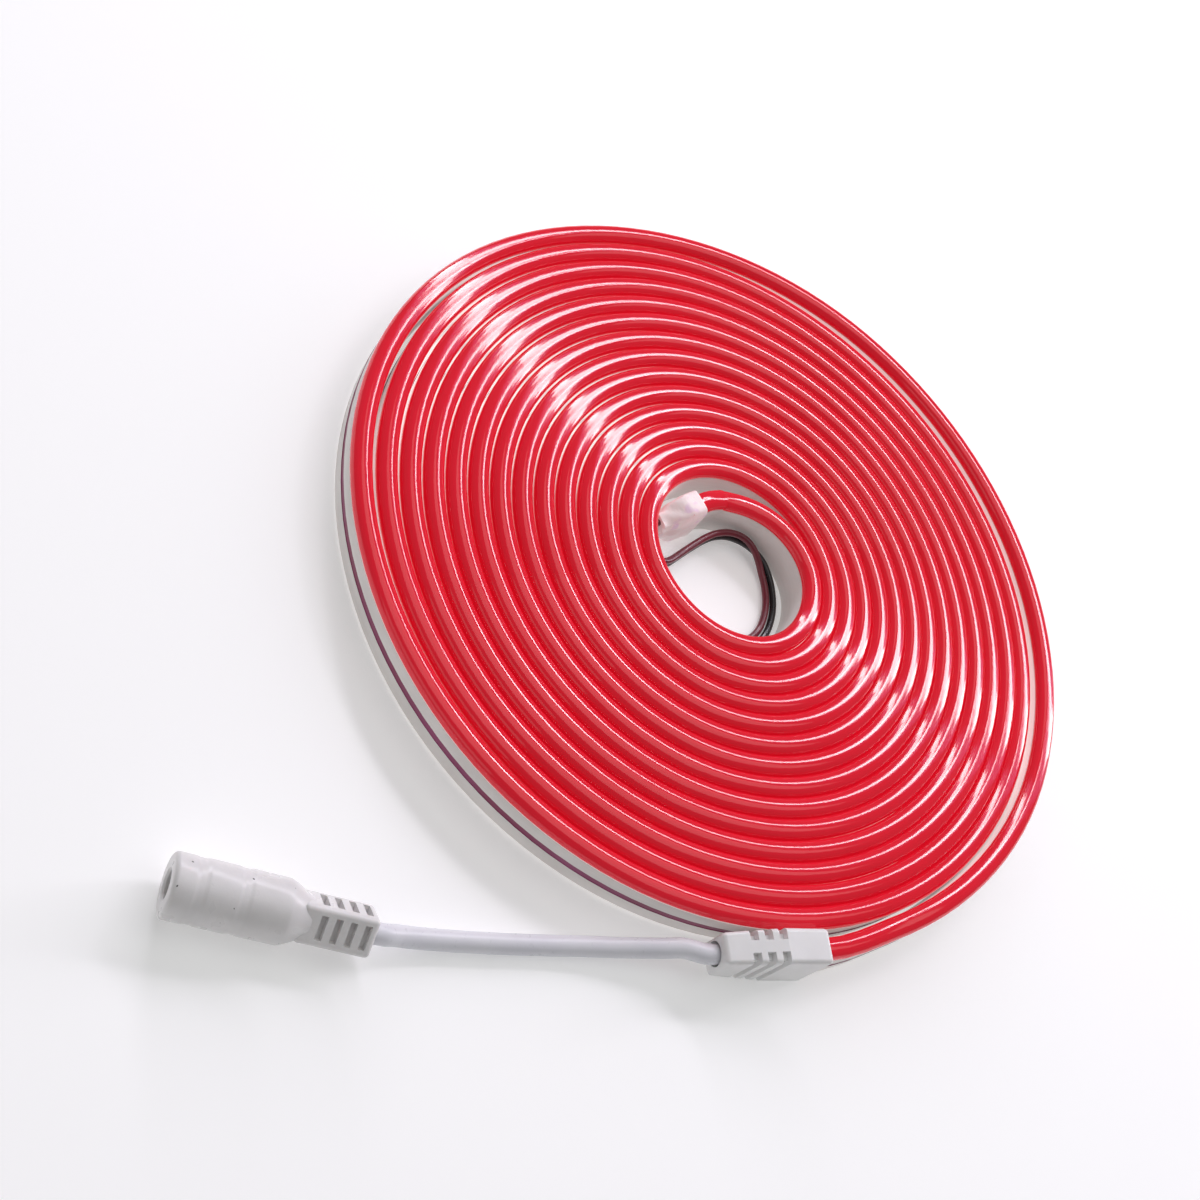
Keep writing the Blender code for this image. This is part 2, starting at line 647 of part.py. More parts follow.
def wire_routes():
    """Middle lines of the red and the black wire: stacked at first, then side by side."""
    middle = wire_pair_route()
    red, black = [], []
    for index, place in enumerate(middle):
        before = middle[max(0, index - 1)]
        after = middle[min(len(middle) - 1, index + 1)]
        along = (after - before).normalized()
        sideways = along.cross(Vector((0, 0, 1))).normalized()
        share = index / (len(middle) - 1)
        turn = math.pi / 2 * (1 - smooth_step(share, WIRES_STACKED_UNTIL, WIRES_FLAT_FROM))
        offset = sideways * math.cos(turn) + Vector((0, 0, math.sin(turn)))
        raised = place + Vector((0, 0, WIRE_SPACING / 2 * math.sin(turn)))
        red.append(raised + offset * WIRE_SPACING / 2)
        black.append(raised - offset * WIRE_SPACING / 2)
    return red, black


def wire(name, places, collection, material, bare_material):
    """An insulated wire with a bare tinned end."""
    tube(name, places, WIRE_DIAMETER, collection, material)
    along = (places[-1] - places[-2]).normalized()
    start = places[-1] + along * SEAT_GAP
    ends = [start, start + along * BARE_LENGTH]
    tube(name + "_bare_end", ends, BARE_DIAMETER, collection, bare_material)


def centre_on_floor(pieces, resting):
    """Moves every piece so that the origin is the middle of the resting pieces' underside."""
    bpy.context.view_layer.update()
    corners = [piece.matrix_world @ vertex.co for piece in resting for vertex in piece.data.vertices]
    middle = Vector([(min(axis) + max(axis)) / 2 for axis in list(zip(*corners))[:2]] + [0.0])
    for piece in pieces:
        piece.matrix_world = Matrix.Translation(-middle) @ piece.matrix_world


def main():
    """Builds the reel."""
    remove_everything()
    flex = new_collection("led_neon_flex")
    cutters = new_collection("cutters")
    white = plastic("flex_white", (0.62, 0.60, 0.58), 0.45)
    red = plastic("diffuser_red", (0.72, 0.02, 0.035), 0.12)
    cap_white = plastic("cap_white", (0.74, 0.74, 0.73), 0.35)
    sleeve = plastic("sleeve_white", (0.72, 0.66, 0.66), 0.40)
    cable = plastic("cable_white", (0.68, 0.67, 0.68), 0.35)
    wire_red = plastic("wire_red", (0.16, 0.012, 0.03), 0.35)
    wire_black = plastic("wire_black", (0.01, 0.008, 0.01), 0.30)
    contact = plastic("contact_metal", (0.70, 0.70, 0.70), 0.25, metallic=1.0)

    resting = [
        flex_layer("flex_base", base_section, flex, white),
        flex_layer("flex_diffuser", diffuser_section, flex, red),
        lead_end_cap(flex, cutters, cap_white),
        tail_end_cap(flex, cutters, sleeve),
    ]
    jack_housing(flex, cutters, cap_white)
    jack_pin(flex, contact)
    tube("lead_cable", lead_route(), CABLE_DIAMETER, flex, cable)
    red_route, black_route = wire_routes()
    wire("tail_wire_red", red_route, flex, wire_red, contact)
    wire("tail_wire_black", black_route, flex, wire_black, contact)
    centre_on_floor([*flex.objects, *cutters.objects], resting)


main()
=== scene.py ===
"""Looks of the LED neon flex reel: its dressed pieces, the floor, the lights and the camera.

Metres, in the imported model's frame. The reel is one strip, swept along its winding line in two
layers. The caps, the socket and the sleeve are modelled along +X and then put in their places.
"""

import logging
import math
from collections.abc import Callable, Sequence
from dataclasses import dataclass, field
from enum import Enum

import bpy
from mathutils import Matrix, Vector


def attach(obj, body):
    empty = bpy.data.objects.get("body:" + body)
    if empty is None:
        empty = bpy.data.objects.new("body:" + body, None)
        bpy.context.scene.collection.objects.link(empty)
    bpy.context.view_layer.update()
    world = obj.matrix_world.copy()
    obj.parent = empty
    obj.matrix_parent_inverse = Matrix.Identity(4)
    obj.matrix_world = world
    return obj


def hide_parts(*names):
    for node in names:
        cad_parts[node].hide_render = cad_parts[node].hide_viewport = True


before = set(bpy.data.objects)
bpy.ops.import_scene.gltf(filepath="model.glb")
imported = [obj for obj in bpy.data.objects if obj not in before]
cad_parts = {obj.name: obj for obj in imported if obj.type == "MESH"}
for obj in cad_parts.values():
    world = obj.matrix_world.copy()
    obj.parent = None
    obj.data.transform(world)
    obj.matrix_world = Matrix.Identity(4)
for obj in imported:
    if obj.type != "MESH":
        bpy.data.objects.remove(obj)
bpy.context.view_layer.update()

LOG = logging.getLogger("neon_flex")
BODY = "root"
TURN = 2 * math.pi
MERGE = 1e-6
REEL_AXIS = Vector((-0.00172351, -0.00164723, 0.0))

Outline = list[tuple[float, float]]
Piece = bpy.types.Object
NodeValue = bpy.types.NodeSocket


class Slot(Enum):
    """The record's material slots."""

    BASE = "base_white"
    DIFFUSER = "diffuser_red"
    CAP = "cap_white"
    SLEEVE = "sleeve_white"
    CABLE = "cable_white"
    JACK = "jack_white"
    WIRE_RED = "wire_red"
    WIRE_BLACK = "wire_black"
    CONTACT = "contact_metal"


class Pattern(Enum):
    """What the coordinates of a finish's pattern follow."""

    PLACE = "Object"
    ALONG = "UV"


# --- Small helpers ---


def smooth_step(value: float, start: float, end: float) -> float:
    """Rises smoothly from 0 at start to 1 at end.

    Args:
        value: Where to read the curve.
        start: Where it leaves 0.
        end: Where it reaches 1.

    Returns:
        A share from 0 to 1.
    """
    share = min(1.0, max(0.0, (value - start) / (end - start)))
    return share * share * (3 - 2 * share)


def heading(angle: float) -> Vector:
    """The level way that an angle points."""
    return Vector((math.cos(angle), math.sin(angle), 0.0))


def arc(first: float, last: float) -> tuple[float, float]:
    """Two angles in degrees, as radians."""
    return math.radians(first), math.radians(last)


def set_down(place: Vector, angle: float) -> Matrix:
    """The move that takes a piece modelled along +X to a place, turned to an angle."""
    return Matrix.Translation(place) @ Matrix.Rotation(angle, 4, "Z")


def smooth_route(points: Sequence[Vector], count: int) -> list[Vector]:
    """Reads evenly timed points from a smooth curve through a route's points.

    Args:
        points: The route's own points.
        count: How many points to read.

    Returns:
        The points on the curve.
    """
    padded = [2 * points[0] - points[1], *points, 2 * points[-1] - points[-2]]
    spans = len(points) - 1
    route = []
    for index in range(count):
        time = spans * index / (count - 1)
        span = min(int(time), spans - 1)
        share = time - span
        before, start, end, after = padded[span:span + 4]
        place = start * 2 + (end - before) * share
        place += (before * 2 - start * 5 + end * 4 - after) * share ** 2
        place += (start * 3 - before - end * 3 + after) * share ** 3
        route.append(place / 2)
    return route


def quarter(centre: tuple[float, float], radius: float, start: float, steps: int = 4) -> Outline:
    """Points of a quarter circle, anticlockwise.

    Args:
        centre: Middle of the circle.
        radius: Its radius.
        start: Angle of the first point, in degrees.
        steps: How many spans the quarter has.

    Returns:
        The quarter's points.
    """
    angles = [math.radians(start + 90 * step / steps) for step in range(steps + 1)]
    return [(centre[0] + radius * math.cos(a), centre[1] + radius * math.sin(a)) for a in angles]


class Bench:
    """Blender's operators, used as by hand on one piece at a time."""

    @staticmethod
    def pick(*pieces: Piece) -> None:
        """Selects these pieces alone and makes the last one active."""
        bpy.ops.object.select_all(action="DESELECT")
        for piece in pieces:
            piece.select_set(True)
        bpy.context.view_layer.objects.active = pieces[-1]

    @staticmethod
    def named(name: str) -> Piece:
        """Names the active object and its data."""
        piece = bpy.context.object
        piece.name = piece.data.name = name
        return piece

    @staticmethod
    def apply_place(piece: Piece) -> None:
        """Writes the piece's place, turn and scale into its mesh."""
        Bench.pick(piece)
        bpy.ops.object.transform_apply(location=True, rotation=True, scale=True)

    @staticmethod
    def block(name: str, low: Sequence[float], high: Sequence[float]) -> Piece:
        """A box between two corners.

        Args:
            name: The piece's name.
            low: Its lowest corner.
            high: Its highest corner.

        Returns:
            The box, with its place in its mesh.
        """
        bpy.ops.object.select_all(action="DESELECT")
        middle = (Vector(low) + Vector(high)) / 2
        bpy.ops.mesh.primitive_cube_add(size=1.0, location=middle)
        piece = Bench.named(name)
        piece.scale = Vector(high) - Vector(low)
        Bench.apply_place(piece)
        return piece

    @staticmethod
    def rod(name: str, radius: float, start: float, end: float, height: float = 0.0,
            sides: int = 48) -> Piece:
        """A round bar along X.

        Args:
            name: The piece's name.
            radius: The bar's radius.
            start: X of its first end.
            end: X of its other end.
            height: Z of its middle line.
            sides: How many sides it has.

        Returns:
            The bar, with its place in its mesh.
        """
        bpy.ops.object.select_all(action="DESELECT")
        bpy.ops.mesh.primitive_cylinder_add(
            vertices=sides, radius=radius, depth=end - start,
            location=((start + end) / 2, 0.0, height), rotation=(0.0, math.pi / 2, 0.0))
        piece = Bench.named(name)
        Bench.apply_place(piece)
        return piece

    @staticmethod
    def edit(piece: Piece, keep: Callable[[Vector], bool] | None = None) -> None:
        """Opens a piece in edit mode with some of its faces selected.

        Args:
            piece: The piece.
            keep: Says by a face's normal whether it is selected; all are if None.
        """
        Bench.pick(piece)
        bpy.context.tool_settings.mesh_select_mode = (False, False, True)
        bpy.ops.object.mode_set(mode="EDIT")
        bpy.ops.mesh.select_all(action="SELECT" if keep is None else "DESELECT")
        if keep is not None:
            bpy.ops.object.mode_set(mode="OBJECT")
            for face in piece.data.polygons:
                face.select = keep(face.normal)
            bpy.ops.object.mode_set(mode="EDIT")

    @staticmethod
    def close_edit() -> None:
        """Goes back to object mode."""
        bpy.ops.object.mode_set(mode="OBJECT")

    @staticmethod
    def slice(piece: Piece, place: float) -> None:
        """Cuts a loop of edges round a piece at a place along X."""
        Bench.edit(piece)
        bpy.ops.mesh.bisect(plane_co=(place, 0.0, 0.0), plane_no=(1.0, 0.0, 0.0))
        Bench.close_edit()

    @staticmethod
    def tidy(piece: Piece) -> None:
        """Merges a mesh's doubles and turns its faces outwards."""
        Bench.edit(piece)
        bpy.ops.mesh.remove_doubles(threshold=MERGE)
        bpy.ops.mesh.normals_make_consistent(inside=False)
        Bench.close_edit()

    @staticmethod
    def apply(piece: Piece, kind: str, **settings: object) -> None:
        """Adds a modifier with these settings and applies it."""
        modifier = piece.modifiers.new(kind.lower(), kind)
        for name, value in settings.items():
            setattr(modifier, name, value)
        Bench.pick(piece)
        bpy.ops.object.modifier_apply(modifier=modifier.name)

    @staticmethod
    def cut(piece: Piece, cutter: Piece) -> None:
        """Cuts a piece with a cutter, and then throws the cutter away."""
        Bench.apply(piece, "BOOLEAN", operation="DIFFERENCE", object=cutter, solver="EXACT")
        bpy.data.meshes.remove(cutter.data)

    @staticmethod
    def soften(piece: Piece, width: float, segments: int, limit: float = 35.0) -> None:
        """Rounds the edges that are sharper than a limit in degrees."""
        Bench.apply(piece, "BEVEL", width=width, segments=segments, limit_method="ANGLE",
                    angle_limit=math.radians(limit), miter_outer="MITER_ARC")

    @staticmethod
    def copy(piece: Piece, move: Matrix) -> Piece:
        """A copy with its own mesh, moved."""
        twin = piece.copy()
        twin.data = piece.data.copy()
        twin.data.transform(move)
        bpy.context.scene.collection.objects.link(twin)
        return twin

    @staticmethod
    def join(pieces: Sequence[Piece]) -> Piece:
        """Joins pieces into the last one."""
        Bench.pick(*pieces)
        bpy.ops.object.join()
        return bpy.context.object

    @staticmethod
    def finish(piece: Piece, place: Matrix, sharp: float = 32.0,
               weighted: bool = False) -> None:
        """Puts a piece in its place on the reel and smooths it.

        Args:
            piece: A piece modelled along +X.
            place: Where it goes.
            sharp: Angle in degrees past which an edge stays sharp.
            weighted: Whether its large flat faces keep their own shading.
        """
        piece.data.transform(place)
        Bench.pick(piece)
        bpy.ops.object.shade_smooth_by_angle(angle=math.radians(sharp))
        if weighted:
            Bench.apply(piece, "WEIGHTED_NORMAL", keep_sharp=True)

    @staticmethod
    def line(name: str, places: Sequence[Sequence[float]], flat: bool = False) -> Piece:
        """A curve of straight spans.

        Args:
            name: The curve's name.
            places: Its points.
            flat: Whether it is a flat, closed outline.

        Returns:
            The curve object.
        """
        data = bpy.data.curves.new(name, "CURVE")
        data.dimensions = "2D" if flat else "3D"
        data.fill_mode = "NONE" if flat else "FULL"
        spline = data.splines.new("POLY")
        spline.points.add(len(places) - 1)
        for point, place in zip(spline.points, places):
            point.co = (*place, 0.0, 1.0) if len(place) == 2 else (*place, 1.0)
        spline.use_cyclic_u = flat
        piece = bpy.data.objects.new(name, data)
        bpy.context.scene.collection.objects.link(piece)
        return piece

    @staticmethod
    def sweep(name: str, places: Sequence[Vector], outline: Outline, twist: float = 0.0,
              marked: Callable[[int], int] | None = None) -> Piece:
        """Sweeps an upright outline along a line and closes its ends.

        Args:
            name: The piece's name.
            places: The line's points.
            outline: Closed outline of (to the right of the way, up).
            twist: How far the outline turns over the whole length.
            marked: Gives the material index of the face after each of the outline's points.

        Returns:
            The swept mesh, with a UV map that runs round it and along it.
        """
        profile = Bench.line(name + "_outline", outline, flat=True)
        piece = Bench.line(name, places)
        piece.data.twist_mode = "Z_UP"
        piece.data.bevel_mode = "OBJECT"
        piece.data.bevel_object = profile
        piece.data.use_fill_caps = True
        for index, point in enumerate(piece.data.splines[0].points):
            point.tilt = twist * index / (len(places) - 1)
        Bench.pick(piece)
        bpy.ops.object.convert(target="MESH")
        piece = Bench.named(name)
        bpy.data.curves.remove(profile.data)
        if marked is not None:
            count = len(outline)
            for face in piece.data.polygons:
                corners = sorted({(corner - 2 * count) % count for corner in face.vertices})
                if min(face.vertices) >= 2 * count and len(corners) == 2:
                    first = corners[0] if corners[1] - corners[0] == 1 else corners[1]
                    face.material_index = marked(first)
        Bench.tidy(piece)
        return piece

    @staticmethod
    def tube(name: str, places: Sequence[Vector], diameter: float) -> Piece:
        """A round cord along a line, left as a curve."""
        piece = Bench.line(name, places)
        piece.data.bevel_depth = diameter / 2
        piece.data.bevel_resolution = 6
        piece.data.use_fill_caps = True
        return piece


def dress(piece: Piece, slot: Slot, finishes: Sequence[bpy.types.Material],
          replaces: Sequence[str] = ()) -> None:
    """Gives a piece its finish and its body, hides the CAD nodes that it stands for and logs its
    slot.

    Args:
        piece: The finished piece.
        slot: The record's slot for it.
        finishes: Its materials.
        replaces: CAD nodes that it stands for.
    """
    for finish in finishes:
        piece.data.materials.append(finish)
    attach(piece, BODY)
    if replaces:
        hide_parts(*replaces)
    is_mesh = piece.type == "MESH"
    size = len(piece.data.polygons if is_mesh else piece.data.splines[0].points)
    LOG.info("%s: %s, %d %s", piece.name, slot.value, size, "faces" if is_mesh else "points")


# --- Finishes ---


@dataclass(frozen=True)
class Grain:
    """A noise pattern: grains to a unit on each axis, its finer layers and what it follows."""

    stretch: tuple
    detail: float = 3.0
    roughness: float = 0.5
    pattern: Pattern = Pattern.PLACE


class NodeBench:
    """Adds and joins the nodes of one material."""

    def __init__(self, name: str) -> None:
        """Starts a material with its shader.

        Args:
            name: The material's name.
        """
        self.material = bpy.data.materials.new(name)
        self.material.use_nodes = True
        self.nodes = self.material.node_tree.nodes
        self.links = self.material.node_tree.links
        self.shader = self.nodes["Principled BSDF"]

    def add(self, kind: str, **settings: object) -> bpy.types.Node:
        """Adds a node and sets its properties."""
        node = self.nodes.new(kind)
        for name, value in settings.items():
            setattr(node, name, value)
        return node

    def noise(self, grain: Grain) -> NodeValue:
        """The value of a noise pattern."""
        where = self.add("ShaderNodeTexCoord")
        mapping = self.add("ShaderNodeMapping")
        mapping.inputs["Scale"].default_value = grain.stretch
        noise = self.add("ShaderNodeTexNoise")
        noise.inputs["Scale"].default_value = 1.0
        noise.inputs["Detail"].default_value = grain.detail
        noise.inputs["Roughness"].default_value = grain.roughness
        self.links.new(where.outputs[grain.pattern.value], mapping.inputs["Vector"])
        self.links.new(mapping.outputs["Vector"], noise.inputs["Vector"])
        return noise.outputs["Fac"]

    def wall_radius(self) -> NodeValue:
        """How far an upright wall stands from the reel's axis; next to nothing on a level face."""
        where = self.add("ShaderNodeTexCoord")
        reach = self.add("ShaderNodeVectorMath", operation="DOT_PRODUCT")
        size = self.add("ShaderNodeMath", operation="ABSOLUTE")
        self.links.new(where.outputs["Object"], reach.inputs[0])
        self.links.new(where.outputs["Normal"], reach.inputs[1])
        self.links.new(reach.outputs["Value"], size.inputs[0])
        return size.outputs["Value"]

    def spread(self, value: NodeValue, low: float, high: float, first: float,
               last: float) -> NodeValue:
        """Maps low to first and high to last, and holds it between them."""
        node = self.add("ShaderNodeMapRange", clamp=True)
        self.links.new(value, node.inputs["Value"])
        ends = {"From Min": low, "From Max": high, "To Min": first, "To Max": last}
        for name, number in ends.items():
            node.inputs[name].default_value = number
        return node.outputs["Result"]

    def blend(self, share: NodeValue, first: object, second: object) -> NodeValue:
        """Mixes two colours, each a tuple or a socket, by a share."""
        node = self.add("ShaderNodeMix", data_type="RGBA")
        self.links.new(share, node.inputs[0])
        for socket, colour in ((node.inputs[6], first), (node.inputs[7], second)):
            if isinstance(colour, NodeValue):
                self.links.new(colour, socket)
            else:
                socket.default_value = (*colour, 1.0)
        return node.outputs[2]

    def mottle(self, value: NodeValue, low: float, high: float, first: object, second: object,
               most: float = 1.0) -> NodeValue:
        """Mixes a second colour into the first, from none at low up to a most at high."""
        return self.blend(self.spread(value, low, high, 0.0, most), first, second)

    def join(self, name: str, value: NodeValue) -> None:
        """Joins a value to one of the shader's sockets."""
        self.links.new(value, self.shader.inputs[name])

    def bump(self, heights: Sequence[tuple[NodeValue, float]]) -> None:
        """Joins heights to the shader, each with its depth in metres."""
        before = None
        for height, depth in heights:
            node = self.add("ShaderNodeBump")
            node.inputs["Strength"].default_value = 1.0
            node.inputs["Distance"].default_value = depth
            self.links.new(height, node.inputs["Height"])
            if before is not None:
                self.links.new(before, node.inputs["Normal"])
            before = node.outputs["Normal"]
        self.join("Normal", before)


@dataclass(frozen=True)
class Tint:
    """A colour laid over the one before it where a grain is high."""

    grain: str
    low: float
    high: float
    colour: tuple
    most: float = 1.0


@dataclass(frozen=True)
class Finish:
    """The recipe of one material.

    The gloss is a grain and what spread takes for it, each bump a grain and its depth in metres.
    The painted wall light holds the glow of the open walls and the brighter glow of the walls in the
    gaps between turns, both painted light, and the two ranges of radius between them.
    """

    name: str
    ground: tuple
    grains: dict
    tints: tuple
    values: dict
    gloss: tuple = ()
    bumps: tuple = ()
    painted_wall_light: tuple = ()

    def make(self) -> bpy.types.Material:
        """The finished material."""
        bench = NodeBench(self.name)
        grains = {name: bench.noise(grain) for name, grain in self.grains.items()}
        colour = self.ground
        for tint in self.tints:
            colour = bench.mottle(grains[tint.grain], tint.low, tint.high, colour, tint.colour,
                                  tint.most)
        bench.join("Base Color", colour)
        if self.gloss:
            grain, *ends = self.gloss
            bench.join("Roughness", bench.spread(grains[grain], *ends))
        if self.bumps:
            bench.bump([(grains[grain], depth) for grain, depth in self.bumps])
        for name, value in self.values.items():
            bench.shader.inputs[name].default_value = value
        # Painted light: the upright walls between the turns glow brighter than the open ones.
        if self.painted_wall_light:
            plain, gap, begins, ends = self.painted_wall_light
            radius = bench.wall_radius()
            glow = bench.mottle(radius, *begins, plain, gap)
            bench.join("Emission Color", bench.mottle(radius, *ends, glow, plain))
        return bench.material


def milky(weight: float, scale: float, radius: tuple) -> dict:
    """The shader's values for a body that lets a little light in."""
    return {"Subsurface Weight": weight, "Subsurface Scale": scale, "Subsurface Radius": radius}


def glowing(colour: tuple, strength: float = 1.0) -> dict:
    """The shader's values for a faint light of the material's own, fitted to the photo: painted
    light on the red and the sleeve, an even white on the floor.
    """
    return {"Emission Color": (*colour, 1.0), "Emission Strength": strength}


DUST = (0.58, 0.555, 0.53)

# Satin off-white extruded silicone with fine lines and dust. Its glow is painted light: a faint one
# on all of it, and a brighter one on the walls between two turns, which lie in shade.
BASE_SILICONE = Finish(
    "base_silicone", (0.72, 0.70, 0.675),
    {"cloud": Grain((55.0, 55.0, 90.0)), "fine": Grain((2500.0,) * 3),
     "streak": Grain((70.0, 260.0, 1.0), 4.0, 0.5, Pattern.ALONG)},
    (Tint("cloud", 0.35, 0.75, DUST), Tint("streak", 0.45, 0.80, DUST, 0.45)),
    {**milky(0.12, 0.002, (1.0, 0.7, 0.6)), "Emission Strength": 1.0},
    ("streak", 0.2, 0.8, 0.36, 0.56), (("streak", 0.00003), ("fine", 0.00001)),
    ((0.085, 0.075, 0.073), (0.40, 0.355, 0.355), (0.021, 0.025), (0.0872, 0.0892)))

# A dark magenta band in the shallow groove along the middle of one side of the strip's base.
SIDE_LINE = Finish(
    "side_line_tint", (0.25, 0.018, 0.085), {"run": Grain((60.0, 60.0, 20.0))},
    (Tint("run", 0.40, 0.72, (0.33, 0.050, 0.17)),), {}, ("run", 0.2, 0.8, 0.30, 0.45))

# Glossy red silicone, faintly rippled by its making and scuffed here and there. Its glow is painted
# light that evens out the shade on its sides and between the turns.
RED_DIFFUSER = Finish(
    "red_diffuser", (0.60, 0.010, 0.027),
    {"cloud": Grain((38.0, 38.0, 60.0)), "ripple": Grain((210.0, 210.0, 90.0), 2.0),
     "streak": Grain((42.0, 50.0, 1.0), 4.0, 0.5, Pattern.ALONG),
     "scuff": Grain((900.0,) * 3, 5.0, 0.7)},
    (Tint("cloud", 0.30, 0.70, (0.55, 0.008, 0.021)),
     Tint("streak", 0.56, 0.80, (0.62, 0.019, 0.040), 0.7)),
    {"IOR": 1.48, "Specular IOR Level": 0.6, **glowing((0.225, 0.0020, 0.0065))},
    ("scuff", 0.50, 0.82, 0.08, 0.16), (("ripple", 0.000014), ("streak", 0.000003)))

# Soft pinkish white vinyl with a lilac cloud and fine wrinkles. Its faint glow is painted light that
# brightens it in the shade of the bore.
SLEEVE_VINYL = Finish(
    "sleeve_vinyl", (0.84, 0.75, 0.745),
    {"cloud": Grain((160.0, 160.0, 210.0), 4.0), "patch": Grain((310.0, 310.0, 260.0), 1.0),
     "crease": Grain((420.0, 900.0, 300.0))},
    (Tint("cloud", 0.35, 0.68, (0.78, 0.64, 0.65)),
     Tint("patch", 0.62, 0.72, (0.62, 0.36, 0.66), 0.55)),
    {**milky(0.2, 0.002, (1.0, 0.6, 0.6)), **glowing((1.0, 0.78, 0.78), 0.19)},
    ("cloud", 0.25, 0.75, 0.30, 0.46), (("crease", 0.00010), ("cloud", 0.00012)))

# The plain pale floor, whose own faint light keeps it as white as in the photo.
FLOOR_PAPER = Finish(
    "floor_paper", (0.90, 0.90, 0.90), {"cloud": Grain((3.0,) * 3)},
    (Tint("cloud", 0.0, 1.0, (0.87, 0.87, 0.87)),),
    {"Roughness": 0.9, "Specular IOR Level": 0.1, **glowing((1.0, 1.0, 1.0), 0.24)})


def moulded(name: str, light: tuple, shade: tuple, roughness: tuple = (0.28, 0.40),
            specks: float = 0.0) -> Finish:
    """White moulded plastic, with a fine grain, a little cloud and, if asked, dark specks."""
    grains = {"cloud": Grain((170.0,) * 3, 4.0), "grain": Grain((3200.0,) * 3, 2.0)}
    tints = [Tint("cloud", 0.35, 0.70, shade)]
    if specks:
        grains["dots"] = Grain((950.0,) * 3, 0.0)
        tints.append(Tint("dots", specks, specks + 0.02, (0.05, 0.05, 0.05)))
    return Finish(name, light, grains, tuple(tints), milky(0.10, 0.0015, (1.0, 0.8, 0.7)),
                  ("cloud", 0.25, 0.75, *roughness), (("cloud", 0.000036), ("grain", 0.000012)))


def vinyl(name: str, light: tuple, shade: tuple, roughness: tuple = (0.26, 0.40),
          coat: float = 0.0) -> Finish:
    """The smooth jacket of a cable or a wire, with faint draw lines and handling marks."""
    grains = {"cloud": Grain((120.0, 120.0, 160.0), 4.0), "marks": Grain((700.0, 700.0, 1500.0))}
    return Finish(name, light, grains, (Tint("cloud", 0.32, 0.70, shade),),
                  {"Coat Weight": coat, "Coat Roughness": 0.1},
                  ("marks", 0.3, 0.7, *roughness), (("marks", 0.000015),))


def tinned(name: str) -> Finish:
    """Bright tinned contact metal with fine drawing marks."""
    return Finish(name, (0.72, 0.71, 0.69), {"marks": Grain((900.0, 900.0, 2600.0), 4.0)},
                  (Tint("marks", 0.35, 0.70, (0.55, 0.53, 0.50)),), {"Metallic": 1.0},
                  ("marks", 0.3, 0.7, 0.20, 0.38), (("marks", 0.000012),))


# --- Shapes ---


@dataclass(frozen=True)
class Nudge:
    """A short stretch of the strip that stands off its neighbours."""

    sweep: float
    reach: float
    amount: float

    def at(self, sweep: float) -> float:
        """How far the strip moves outwards at a sweep, both in radians."""
        away = abs(sweep - math.radians(self.sweep)) / math.radians(self.reach)
        return self.amount * (1 - smooth_step(away, 0.0, 1.0))


